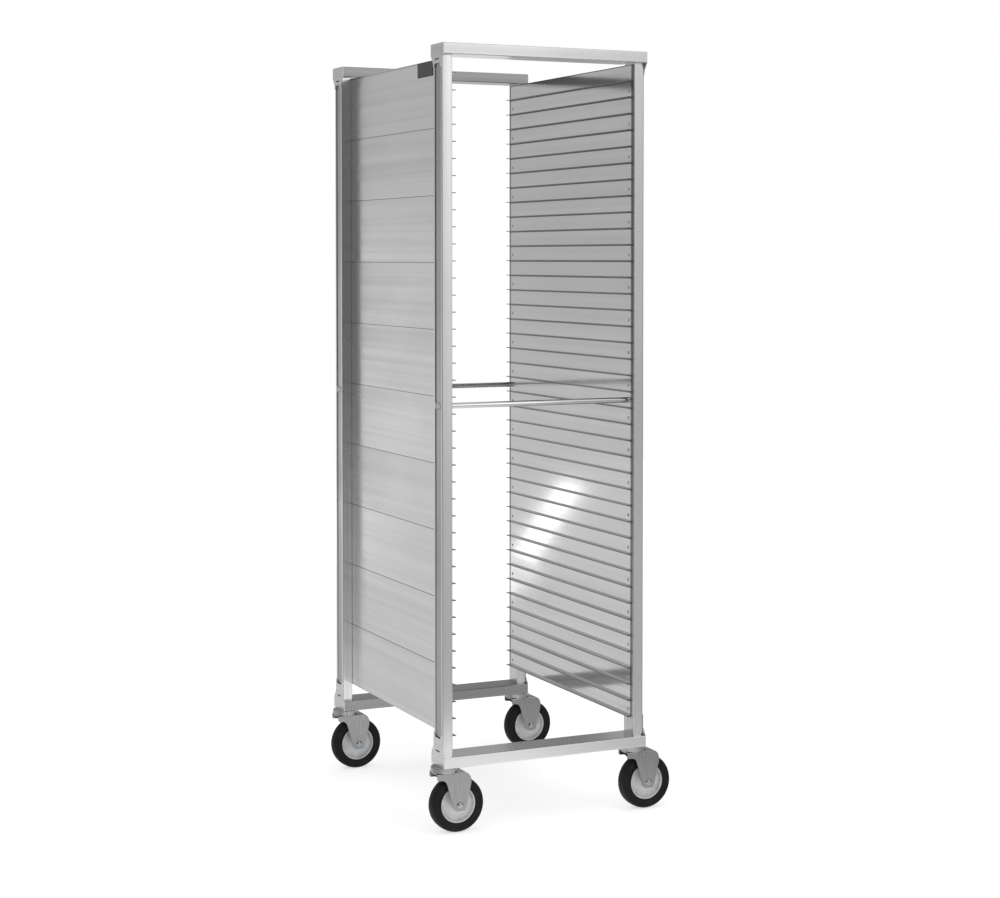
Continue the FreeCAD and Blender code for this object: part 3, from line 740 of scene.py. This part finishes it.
class Piece:
    """A visible mesh piece: made once from arrays, then dressed and tied to the frame."""

    def __init__(self, name: str, points: Array, faces: Sequence[Sequence[int]]) -> None:
        """Builds the mesh, welds its poles and seams, and turns its faces outwards.

        Args:
            name: the object's name.
            points: coordinates in metres, last index 3.
            faces: point numbers of each face.
        """
        mesh = bpy.data.meshes.new(name)
        mesh.from_pydata(points.reshape(-1, 3), [], [list(face) for face in faces])
        self.object = bpy.data.objects.new(name, mesh)
        bpy.context.scene.collection.objects.link(self.object)
        self.clean()

    @classmethod
    def copy_of(cls, node: str, name: str) -> "Piece":
        """A welded copy of a CAD node's mesh, with its flat faces made whole again.

        Args:
            node: the CAD node.
            name: the new object's name.

        Returns:
            The piece.
        """
        piece = cls.__new__(cls)
        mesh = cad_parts[node].data.copy()
        mesh.materials.clear()
        piece.object = bpy.data.objects.new(name, mesh)
        bpy.context.scene.collection.objects.link(piece.object)
        piece.clean(flatten=True)
        return piece

    def clean(self, flatten: bool = False) -> None:
        """Merges doubled points and recalculates normals.

        Args:
            flatten: whether to join faces that lie in one plane.
        """
        mesh = self.object.data
        work = bmesh.new()
        work.from_mesh(mesh)
        bmesh.ops.remove_doubles(work, verts=work.verts, dist=WELD_DISTANCE)
        if flatten:
            bmesh.ops.dissolve_limit(
                work, angle_limit=COPLANAR_ANGLE, verts=work.verts, edges=work.edges
            )
        bmesh.ops.recalc_face_normals(work, faces=work.faces)
        work.to_mesh(mesh)
        work.free()
        mesh.polygons.foreach_set("use_smooth", [True] * len(mesh.polygons))
        mesh.set_sharp_from_angle(angle=SHARP_ANGLE)
        mesh.update()

    def bevelled(self, width: float, segments: int = 2) -> "Piece":
        """Rounds the piece's sharp edges with a Bevel modifier.

        Args:
            width: the bevel's width.
            segments: faces across it.

        Returns:
            The same piece.
        """
        bevel = self.object.modifiers.new("soft_edges", "BEVEL")
        bevel.width = width
        bevel.segments = segments
        bevel.limit_method = "ANGLE"
        bevel.angle_limit = BEVEL_ANGLE
        return self.flat_shaded()

    def flat_shaded(self) -> "Piece":
        """Keeps large faces flat: each point's normal follows its largest faces.

        Returns:
            The same piece.
        """
        weighted = self.object.modifiers.new("flat_faces", "WEIGHTED_NORMAL")
        weighted.mode = "FACE_AREA"
        weighted.weight = 100
        weighted.keep_sharp = True
        return self

    def dressed(self, finish: Finish, name: str) -> "Piece":
        """Gives the piece one finish."""
        self.object.data.materials.append(finish.material(name))
        return self

    def tied(self, body: str, slot: str, nodes: Sequence[str] = ()) -> "Piece":
        """Makes the piece ride on a body and stand for CAD nodes.

        Args:
            body: the body that it moves with.
            slot: not used.
            nodes: the CAD nodes that it stands for.

        Returns:
            The same piece.
        """
        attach(self.object, body)
        if nodes:
            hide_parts(*nodes)
        log.info("%s rides on %s", self.object.name, body)
        return self


def placed(along: Array, across: Array, run: Run) -> Array:
    """Points from a distance along the run and two coordinates across it, as x, y, z.

    Args:
        along: distances along the run.
        across: coordinates in its other two axes, last index 2.
        run: the axis.

    Returns:
        Points, last index 3.
    """
    points = np.empty(across.shape[:-1] + (3,))
    points[..., run.value[0]] = along
    points[..., run.value[1]] = across[..., 0]
    points[..., run.value[2]] = across[..., 1]
    return points


def extrusion(name: str, section: Array, start: float, end: float, run: Run, bevel: float) -> Piece:
    """A section carried along a straight run, with a quarter-round bevel at both ends.

    Station k of a bevel lies bevel * (1 - cos t) in from the end, where the section is inset by
    bevel * (1 - sin t), as t goes from 0 to a right angle.

    Args:
        name: the piece's name.
        section: N x 2 closed anticlockwise outline, in the run's other two axes.
        start: where the run begins.
        end: where it ends.
        run: its axis.
        bevel: radius of the edge at the ends.

    Returns:
        The closed piece.
    """
    turn = np.linspace(0.0, math.pi / 2, 4)
    depth = bevel * (1 - np.cos(turn))
    shrink = bevel * (1 - np.sin(turn))
    along = np.concatenate([start + depth, end - depth[::-1]])
    shrinks = np.concatenate([shrink, shrink[::-1]])
    rings = np.stack([inset(section, amount) for amount in shrinks])
    rows, columns = rings.shape[:2]
    points = placed(along[:, None], rings, run)
    faces = grid_faces(rows, columns, False, True).tolist()
    faces.append(list(range(columns - 1, -1, -1)))
    faces.append(list(range((rows - 1) * columns, rows * columns)))
    return Piece(name, points, faces).flat_shaded()


def revolved(profile: Array, centre: Sequence[float], run: Run, segments: int) -> tuple[Array, Array]:
    """Surface of revolution: each profile point (radius, height) turned about an axis.

    A point at angle a is height along the axis, and radius * (cos a, sin a) across it.

    Args:
        profile: N x 2 outline that starts and ends on the axis, or closes on itself.
        centre: a point on the axis, from which heights are measured.
        run: the direction of the axis.
        segments: points round the axis.

    Returns:
        The points, segments * N x 3, and the faces.
    """
    angle = np.arange(segments) * (2 * math.pi / segments)
    ring = np.stack([np.cos(angle), np.sin(angle)], axis=-1)
    across = profile[None, :, :1] * ring[:, None, :]
    along = np.broadcast_to(profile[None, :, 1], across.shape[:2])
    points = placed(along, across, run) + np.asarray(centre)
    on_axis = abs(profile[0, 0]) < 1e-9
    return points.reshape(-1, 3), grid_faces(segments, len(profile), True, not on_axis)


def lathe(name: str, profile: Array, centre: Sequence[float], run: Run, segments: int = 64) -> Piece:
    """One turned piece."""
    return Piece(name, *revolved(profile, centre, run, segments))


def rounded_path(rows: Sequence[Sequence[float]], steps: int = 5) -> Array:
    """Open outline from (a, b, radius) rows; a row with no radius is a plain point.

    Args:
        rows: corners in millimetres.
        steps: points on each arc.

    Returns:
        N x 2 points in metres.
    """
    table = np.array(rows, dtype=float) * MM
    pieces = [table[:1, :2]]
    for before, corner, after in zip(table[:-2], table[1:-1], table[2:]):
        if corner[2] <= 0.0:
            pieces.append(corner[None, :2])
            continue
        trio = np.stack([before[:2], corner[:2], after[:2]])
        radii = np.array([WELD_DISTANCE, corner[2], WELD_DISTANCE])
        pieces.append(rounded_loop(trio, radii, steps)[steps:2 * steps])
    pieces.append(table[-1:, :2])
    return np.concatenate(pieces)


def mirrored_profile(
    rows: Sequence[Sequence[float]],
    steps: int = 5,
    to_axis: bool = True,
) -> Array:
    """Whole turned outline from the half above its middle; a closed ring doesn't reach the axis.

    Args:
        rows: the upper half, as for rounded_path.
        steps: points on each arc.
        to_axis: whether the outline starts on the axis.

    Returns:
        N x 2 points in metres.
    """
    half = rounded_path(rows, steps)
    lower = half[::-1][1:] if to_axis else half[::-1][1:-1]
    return np.concatenate([half, lower * (1.0, -1.0)])


def node_box(node: str) -> tuple[Array, Array]:
    """Lowest and highest corner of a CAD node, in metres."""
    low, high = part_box(node)
    return np.array(low), np.array(high)


# --- frame of posts and rails
@dataclass
class PostsAndRails:
    """Four posts with a channel down the outer side, and the rails that join them."""

    post_radius: float = 1.5 * MM
    recess_depth: float = 2.0 * MM
    recess_border: float = 6.35 * MM
    recess_radius: float = 0.8 * MM
    rail_radius: float = 2.0 * MM
    edge: float = 0.25 * MM
    plate_edge: float = 0.35 * MM
    post_roughness: float = 0.19
    rail_finish: BrushedAluminium = BrushedAluminium(Grain.ALONG_X, roughness=0.22)
    # The rear rails get a much darker copy of the rail metal: painted shade, as they lie in shadow.
    shaded_rail_finish: BrushedAluminium = BrushedAluminium(Grain.ALONG_X, tone=0.36, roughness=0.30)
    plate_finish: BrushedAluminium = BrushedAluminium(Grain.ALONG_Y, roughness=0.30)

    def post_section(self, low: Array, high: Array, outer_left: bool) -> Array:
        """Rectangle with a shallow channel in the side that faces away from the rack.

        Args:
            low: lowest corner of the post.
            high: its highest corner.
            outer_left: whether the channel is on the left.

        Returns:
            Closed anticlockwise outline.
        """
        outer, inner = (low[0], high[0]) if outer_left else (high[0], low[0])
        floor = outer + (self.recess_depth if outer_left else -self.recess_depth)
        front, back = low[1], high[1]
        border = self.recess_border
        corners = np.array([
            (outer, front), (inner, front), (inner, back), (outer, back),
            (outer, back - border), (floor, back - border),
            (floor, front + border), (outer, front + border),
        ])
        radii = np.array([self.post_radius] * 4
                         + [self.recess_radius * 0.5, self.recess_radius] * 2)
        radii[6:] = radii[6:][::-1]
        loop = rounded_loop(corners, radii)
        return loop if outer_left else loop[::-1]

    def build(self) -> None:
        """Makes the posts, the rails and the corner plates."""
        for corner in CORNERS:
            node = "post_" + corner
            low, high = node_box(node)
            side = corner.split("_")[1]
            section = self.post_section(low, high, side == "left")
            floor = low[0] + self.recess_depth if side == "left" else high[0] - self.recess_depth
            finish = PostAluminium(
                Grain.ALONG_Z, roughness=self.post_roughness, channel_floor=floor
            )
            post = extrusion(node + "_bar", section, low[2], high[2], Run.Z, self.edge)
            post.dressed(finish, "aluminium_post_" + side)
            post.tied(FRAME_BODY, "satin_aluminium", [node])
        for level in ("top", "bottom"):
            for end in ("front", "rear"):
                self.rail("rail_%s_%s" % (level, end))
        plates = Piece.copy_of("corner_plates", "corner_plates_soft").bevelled(self.plate_edge)
        plates.dressed(self.plate_finish, "aluminium_plate")
        plates.tied(FRAME_BODY, "satin_aluminium", ["corner_plates"])

    def rail(self, node: str) -> None:
        """One rail with rounded edges, between the corner plates.

        Args:
            node: the CAD node.
        """
        low, high = node_box(node)
        corners = np.array([
            (low[1], low[2]), (high[1], low[2]), (high[1], high[2]), (low[1], high[2]),
        ])
        section = rounded_loop(corners, np.full(4, self.rail_radius), 8)
        rail = extrusion(node + "_bar", section, low[0], high[0], Run.X, self.edge)
        # Painted shade: the rear rails take the darker copy of the rail metal.
        if node.endswith("rear"):
            rail.dressed(self.shaded_rail_finish, "aluminium_rail_painted_shade")
        else:
            rail.dressed(self.rail_finish, "aluminium_rail")
        rail.tied(FRAME_BODY, "satin_aluminium", [node])


# --- side panels
@dataclass
class SidePanels:
    """Ten interlocking extrusions a side, each with four pan ledges on its inner face."""

    per_side: int = 10
    ledges: int = 4
    pitch: float = 38.1 * MM
    web: float = 1.6 * MM
    ledge: float = 2.0 * MM
    tip_radius: float = 0.9 * MM
    root_radius: float = 1.0 * MM
    lip: float = 0.7 * MM
    lip_height: float = 2.4 * MM
    lap_gap: float = 0.1 * MM
    seam_gap: float = 0.6 * MM
    crisp: float = 0.08 * MM
    edge: float = 0.25 * MM

    def section(self, reach: float) -> tuple[Array, Array]:
        """Corners and radii of the panel's section as (inwards, upwards) from its lowest ledge.

        The comb of ledges repeats at each pitch. An outer lip hangs below the section, over
        the thinned top of the panel underneath.

        Args:
            reach: from the panel's outer face to the ledge tips.

        Returns:
            N x 2 corners and their radii.
        """
        rise = np.arange(self.ledges)[:, None] * self.pitch
        ledge = np.array([(self.web, 0.0), (reach, 0.0), (reach, self.ledge), (self.web, self.ledge)])
        comb = ledge[None] + np.stack([np.zeros_like(rise), rise], axis=-1)
        radii = np.tile([self.crisp, self.tip_radius, self.tip_radius, self.root_radius], self.ledges)
        lap = self.lip + self.lap_gap
        top = self.ledges * self.pitch
        shelf = top - self.lip_height - self.seam_gap
        frame_part = np.array([
            (self.web, top), (lap, top), (lap, shelf), (0.0, shelf),
            (0.0, -self.lip_height), (self.lip, -self.lip_height), (self.lip, 0.0),
        ])
        corners = np.concatenate([comb.reshape(-1, 2)[1:], frame_part])
        return corners, np.concatenate([radii[1:], np.full(len(frame_part), self.crisp)])

    def build(self) -> None:
        """Makes every panel from its own box in the frame."""
        for side, inward in (("left", 1.0), ("right", -1.0)):
            for index in range(self.per_side):
                self.panel("side_panel_%s_%02d" % (side, index + 1), inward, index)

    def panel(self, node: str, inward: float, index: int) -> None:
        """One panel: its section is mirrored for the right side by the inward sign.

        Args:
            node: the CAD node.
            inward: 1 on the left side, -1 on the right.
            index: its number from the foot, from 0.
        """
        low, high = node_box(node)
        outer = low[0] if inward > 0 else high[0]
        corners, radii = self.section(high[0] - low[0])
        points = rounded_loop(corners, radii, 4)
        foot = low[2] + self.lip_height
        across = np.stack([foot + points[:, 1], outer + inward * points[:, 0]], axis=-1)
        area = np.sum(across[:, 0] * np.roll(across[:, 1], -1)
                      - across[:, 1] * np.roll(across[:, 0], -1))
        section = across if area > 0 else across[::-1]
        finish = PanelAluminium(
            Grain.ALONG_Y,
            tone=0.83,
            roughness=0.22,
            offset=(0.0, 3.7 * index, 0.0),
            web_face=outer + inward * self.web,
            tip=high[0] if inward > 0 else low[0],
            half_length=high[1],
            inward=inward,
            base=foot - index * self.ledges * self.pitch,
            pitch=self.pitch,
            seam_every=self.ledges * self.pitch,
            seam_height=-self.lip_height - self.seam_gap / 2,
        )
        panel = extrusion(node + "_profile", section, low[1], high[1], Run.Y, self.edge)
        panel.dressed(finish, "aluminium_" + node)
        panel.tied(FRAME_BODY, "satin_aluminium", [node])


# --- tie bars and small parts
@dataclass
class TieBars:
    """Round bars at mid height, front and rear, with their plates on the posts."""

    spigot_radius: float = 4.5
    bar_radius: float = 6.35
    shoulder: float = 4.5
    finish: BrushedAluminium = BrushedAluminium(
        Grain.ALONG_X, tone=0.76, roughness=0.22, anisotropy=0.55
    )

    def build(self) -> None:
        """Each bar is turned about its own axis; its ends step down to a domed spigot."""
        for end in ("front", "rear"):
            node = "tie_bar_" + end
            low, high = node_box(node)
            middle = (low + high) / 2
            half = (high[0] - low[0]) / 2 / MM
            profile = mirrored_profile([
                (0.0, half, 0.0),
                (self.spigot_radius, half, 0.6),
                (self.spigot_radius, half - self.shoulder, 0.0),
                (self.bar_radius, half - self.shoulder, 0.5),
                (self.bar_radius, 0.0, 0.0),
            ])
            bar = lathe(node + "_turned", profile, middle, Run.X, 40)
            bar.dressed(self.finish, "aluminium_tie_bar")
            bar.tied(FRAME_BODY, "satin_aluminium", [node])
        plates = Piece.copy_of("tie_bar_plates", "tie_bar_plates_soft").bevelled(0.4 * MM)
        finish = BrushedAluminium(Grain.ALONG_Y, tone=0.5, roughness=0.4)
        plates.dressed(finish, "aluminium_tie_plate")
        plates.tied(FRAME_BODY, "satin_aluminium", ["tie_bar_plates"])


@dataclass
class Nameplate:
    """Blank plate near the top of the left side, with a border drawn by its finish."""

    radius: float = 2.0 * MM
    edge: float = 0.3 * MM

    def build(self) -> None:
        """A rounded rectangle carried through the plate's thickness."""
        low, high = node_box("nameplate")
        corners = np.array([
            (low[1], low[2]), (high[1], low[2]), (high[1], high[2]), (low[1], high[2]),
        ])
        section = rounded_loop(corners, np.full(4, self.radius), 6)
        plate = extrusion("nameplate_blank", section, low[0], high[0], Run.X, self.edge)
        plate.dressed(DarkEnamel(tuple(low), tuple(high)), "enamel_nameplate")
        plate.tied(FRAME_BODY, "nameplate_grey", ["nameplate"])


# --- casters
@dataclass
class Caster:
    """One swivel caster: turned head, pressed fork, axle, wheel centre and tyre."""

    corner: str
    head_finish: ZincPlate = ZincPlate(tone=0.42, roughness=0.20)
    fork_finish: ZincPlate = ZincPlate(tone=0.34, roughness=0.22)

    def build(self) -> None:
        """Makes the caster's pieces on the three bodies that they belong to."""
        swivel = "swivel_" + self.corner
        wheel = "wheel_" + self.corner
        low, high = node_box("tyre_" + self.corner)
        centre = (low + high) / 2
        self.tyre(wheel, centre, (high - low) / 2 / MM)
        self.hub(wheel, centre)
        fork = Piece.copy_of("caster_fork_" + self.corner, "fork_pressed_" + self.corner)
        fork.bevelled(0.6 * MM, 3).dressed(self.fork_finish, "zinc_fork")
        fork.tied(swivel, "zinc_plated_steel", ["caster_fork_" + self.corner])
        self.axle(swivel)
        head = Piece.copy_of("caster_head_" + self.corner, "head_turned_" + self.corner)
        head.bevelled(0.3 * MM).dressed(self.head_finish, "zinc_head")
        head.tied(FRAME_BODY, "zinc_plated_steel", ["caster_head_" + self.corner])

    def tyre(self, body: str, centre: Array, half: Array) -> None:
        """Tyre section: lip, slightly hollow flank with a rib, round shoulder, crowned tread.

        Args:
            body: the wheel's body.
            centre: the wheel's centre.
            half: half the tyre's size along x, y and z, in millimetres.
        """
        tread = half[2]
        side = half[1]
        inner = tread - 21.45
        profile = mirrored_profile([
            (inner, 0.0, 0.0),
            (inner, side - 1.0, 0.8),
            (inner + 2.0, side, 1.2),
            (inner + 4.6, side, 1.0),
            (inner + 5.6, side - 0.9, 0.8),
            (inner + 11.0, side - 0.9, 0.8),
            (inner + 12.0, side - 0.2, 0.8),
            (tread - 3.2, side - 0.4, 3.0),
            (tread - 0.5, side - 5.5, 4.0),
            (tread - 0.15, 0.6, 0.0),
            (tread, 0.3, 0.0),
            (tread, 0.0, 0.0),
        ], 6, to_axis=False)
        tyre = lathe("tyre_moulded_" + self.corner, profile, centre, Run.Y, 128)
        finish = TyreRubber(tuple(centre), tread * MM)
        tyre.dressed(finish, "rubber_tyre_" + self.corner)
        tyre.tied(body, "tyre_black", ["tyre_" + self.corner])

    def hub(self, body: str, centre: Array) -> None:
        """Wheel centre: boss, dished web with a raised ring, and the rim under the tyre.

        Args:
            body: the wheel's body.
            centre: the wheel's centre.
        """
        low, high = node_box("wheel_hub_" + self.corner)
        rim = (high[0] - low[0]) / 2 / MM
        boss = (high[1] - low[1]) / 2 / MM
        profile = mirrored_profile([
            (8.0, 0.0, 0.0),
            (8.0, boss, 0.6),
            (13.0, boss, 1.6),
            (15.5, 6.5, 4.0),
            (22.0, 5.0, 6.0),
            (27.0, 5.0, 3.0),
            (28.5, 6.2, 1.0),
            (31.0, 6.2, 1.0),
            (32.0, 5.4, 2.0),
            (rim - 5.0, 6.0, 3.0),
            (rim - 3.6, 13.6, 1.4),
            (rim - 0.6, 14.0, 0.5),
            (rim, 13.4, 0.4),
            (rim, 0.0, 0.0),
        ], 6, to_axis=False)
        hub = lathe("hub_moulded_" + self.corner, profile, centre, Run.Y, 96)
        hub.dressed(MouldedGrey(tuple(centre), rim * MM), "plastic_hub_" + self.corner)
        hub.tied(body, "wheel_grey", ["wheel_hub_" + self.corner])

    def axle(self, body: str) -> None:
        """Axle pin with a domed, slightly flattened head at each end.

        Args:
            body: the swivel's body.
        """
        node = "caster_axle_" + self.corner
        low, high = node_box(node)
        middle = (low + high) / 2
        end = (high[1] - low[1]) / 2 / MM
        head = (high[0] - low[0]) / 2 / MM
        profile = mirrored_profile([
            (0.0, end, 0.0),
            (head * 0.45, end, 2.0),
            (head * 0.85, end - 1.2, 2.0),
            (head, end - 3.0, 0.8),
            (head, end - 3.9, 0.0),
            (4.7, end - 3.9, 0.0),
            (4.7, 0.0, 0.0),
        ])
        axle = lathe("axle_riveted_" + self.corner, profile, middle, Run.Y, 40)
        axle.dressed(self.head_finish, "zinc_head")
        axle.tied(body, "zinc_plated_steel", [node])


# --- CAD nodes that stay
@dataclass
class KeptNodes:
    """CAD nodes whose own shape is shown, with a finish put in their material slots."""

    finishes: dict[str, tuple[Finish, str]] = field(default_factory=lambda: {
        "rivets": (PolishedSteel(tone=0.66, roughness=0.24), "aluminium_rivet"),
        "stem_nuts": (ZincPlate(tone=0.60), "zinc_head"),
        "swivel_balls": (PolishedSteel(), "steel_bearing"),
        **{"wheel_bushing_" + corner: (PolishedSteel(tone=0.5), "steel_bushing")
           for corner in CORNERS},
    })

    def build(self) -> None:
        """Assigns each finish to every slot of its node."""
        for node, (finish, name) in self.finishes.items():
            material = finish.material(name)
            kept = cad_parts[node]
            for slot in kept.material_slots:
                slot.link = "OBJECT"
                slot.material = material
            log.info("%s keeps its CAD shape", node)


# --- studio
@dataclass
class Camera:
    """The viewpoint: to the left of the open front, a little above the middle of the rack."""

    eye: tuple[float, float, float] = (-2.057, -4.481, 1.296)
    yaw: float = 24.82
    pitch: float = -1.68
    focal_length: float = 72.82
    sensor_width: float = 36.0
    shift_down: float = -0.1319

    def build(self) -> None:
        """Adds the camera and makes it the scene's own."""
        data = bpy.data.cameras.new("rack_camera")
        data.lens = self.focal_length
        data.sensor_width = self.sensor_width
        data.sensor_fit = "HORIZONTAL"
        data.shift_y = self.shift_down
        data.clip_end = 100.0
        camera = bpy.data.objects.new("rack_camera", data)
        camera.location = self.eye
        turn = (math.radians(90 + self.pitch), 0.0, math.radians(-self.yaw))
        camera.rotation_euler = Euler(turn, "XYZ")
        bpy.context.scene.collection.objects.link(camera)
        bpy.context.scene.camera = camera


@dataclass(frozen=True)
class SoftBox:
    """A rectangular area light that looks at a point of the rack."""

    name: str
    place: tuple[float, float, float]
    target: tuple[float, float, float]
    size: tuple[float, float]
    power: float
    roll: float = 0.0

    def build(self) -> None:
        """Adds the light, turned towards its target and rolled about its own aim."""
        data = bpy.data.lights.new(self.name, "AREA")
        data.shape = "RECTANGLE"
        data.size, data.size_y = self.size
        data.energy = self.power
        light = bpy.data.objects.new(self.name, data)
        light.location = self.place
        away = Vector(self.place) - Vector(self.target)
        aim = away.to_track_quat("Z", "Y")
        light.rotation_euler = (aim @ Quaternion((0.0, 0.0, 1.0), math.radians(self.roll))).to_euler()
        bpy.context.scene.collection.objects.link(light)


@dataclass
class Studio:
    """Grey room: a backdrop behind, a window ahead, a dark left front, a strip light behind."""

    floor_size: float = 14.0
    floor_gap: float = 0.2 * MM
    backdrop: float = 0.48
    backdrop_low: float = 0.62
    backdrop_high: float = 0.38
    left_front: float = 0.17
    middle_front: float = 1.00
    right_front: float = 0.42
    dark_band: float = 0.5
    side_glow: float = 0.30
    top_glow: float = 0.60
    lights: tuple[SoftBox, ...] = (
        SoftBox(
            "key_softbox", place=(-2.6, -2.4, 3.4), target=(0.0, 0.0, 0.9), size=(2.2, 1.6), power=8.0
        ),
        SoftBox(
            "front_softbox", place=(2.4, -3.6, 3.2), target=(0.0, 0.0, 1.2), size=(2.4, 1.2), power=5.0
        ),
        SoftBox(
            "strip_softbox", place=(-0.93, 2.5, 0.22), target=(0.2, 0.0, 0.6), size=(0.09, 0.52),
            power=0.15, roll=-33.0,
        ),
    )
    overhead: float = 0.60
    low_wall: Zone = (0.0, -0.12)
    high_wall: Zone = (0.08, 0.25)
    side_reach: Zone = (-0.43, -0.36)
    side_height: Zone = (0.08, -0.04)
    left_to_middle: Zone = (-0.25, 0.25)
    middle_to_right: Zone = (0.38, 0.50)
    band_top: Zone = (-0.06, -0.10)
    band_bottom: Zone = (-0.18, -0.14)
    glow_left: Zone = (0.0, 0.3)
    glow_right: Zone = (0.50, 0.42)
    glow_height: Zone = (0.07, 0.11)
    front_to_back: Zone = (-0.1, 0.3)
    overhead_start: Zone = (0.35, 0.8)

    def build(self) -> None:
        """Adds the floor, the surroundings, the lights and the camera."""
        self.floor()
        self.surroundings()
        for light in self.lights:
            light.build()
        Camera().build()

    def floor(self) -> None:
        """A flat square at the foot of the wheels, dressed as pale floor."""
        half = self.floor_size / 2
        corners = np.array([(-half, -half), (half, -half), (half, half), (-half, half)])
        points = np.column_stack([corners, np.full(4, CAD_BOX[0][2] - self.floor_gap)])
        floor = Piece("studio_floor", points, [(0, 1, 2, 3)]).dressed(PaleFloor(), "pale_floor")

    def surroundings(self) -> None:
        """World light by direction; straight into the camera it is plain white."""
        world = bpy.data.worlds.new("studio_world")
        bpy.context.scene.world = world
        world.use_nodes = True
        shader = Shader(world.node_tree)
        direction = shader.node("ShaderNodeTexCoord").outputs["Generated"]
        x, y, z = shader.axes(direction)
        # Behind the rack the wall is paler near the floor and to the left.
        behind = self.backdrop + z.step(*self.low_wall) * (self.backdrop_low - self.backdrop)
        behind = behind + z.step(*self.high_wall) * (self.backdrop_high - self.backdrop)
        side = x.step(*self.side_reach) * z.step(*self.side_height)
        behind = behind + side * self.side_glow
        # Ahead of it the middle is brightest, with a dark band just below eye height.
        middle = x.step(*self.left_to_middle)
        ahead = self.left_front + middle * (self.middle_front - self.left_front)
        ahead = ahead + x.step(*self.middle_to_right) * (self.right_front - ahead)
        band = z.step(*self.band_top) * z.step(*self.band_bottom)
        ahead = ahead * (1.0 - band * self.dark_band)
        glow = x.step(*self.glow_left) * x.step(*self.glow_right) * z.step(*self.glow_height)
        ahead = ahead + glow * self.top_glow
        level = ahead + y.step(*self.front_to_back) * (behind - ahead)
        level = level + (self.overhead - level) * z.step(*self.overhead_start)
        cloud = shader.noise(direction, 3.0, 3.0)
        level = level * (0.85 + cloud * 0.3)
        seen = Value(shader, shader.node("ShaderNodeLightPath").outputs["Is Camera Ray"])
        strength = level + seen * (1.0 - level)
        background = shader.node(
            "ShaderNodeBackground", None, {"Color": (1.0, 1.0, 1.0, 1.0), "Strength": strength}
        )
        shader.node("ShaderNodeOutputWorld", None, {"Surface": background.outputs[0]})


def main() -> None:
    """Builds the rack's visible pieces in order, then the studio around them."""
    logging.basicConfig(level=logging.INFO, format="%(message)s")
    bpy.context.scene.view_settings.view_transform = "Standard"
    PostsAndRails().build()
    SidePanels().build()
    TieBars().build()
    Nameplate().build()
    for corner in CORNERS:
        Caster(corner).build()
    KeptNodes().build()
    Studio().build()


if __name__ == "__main__":
    main()
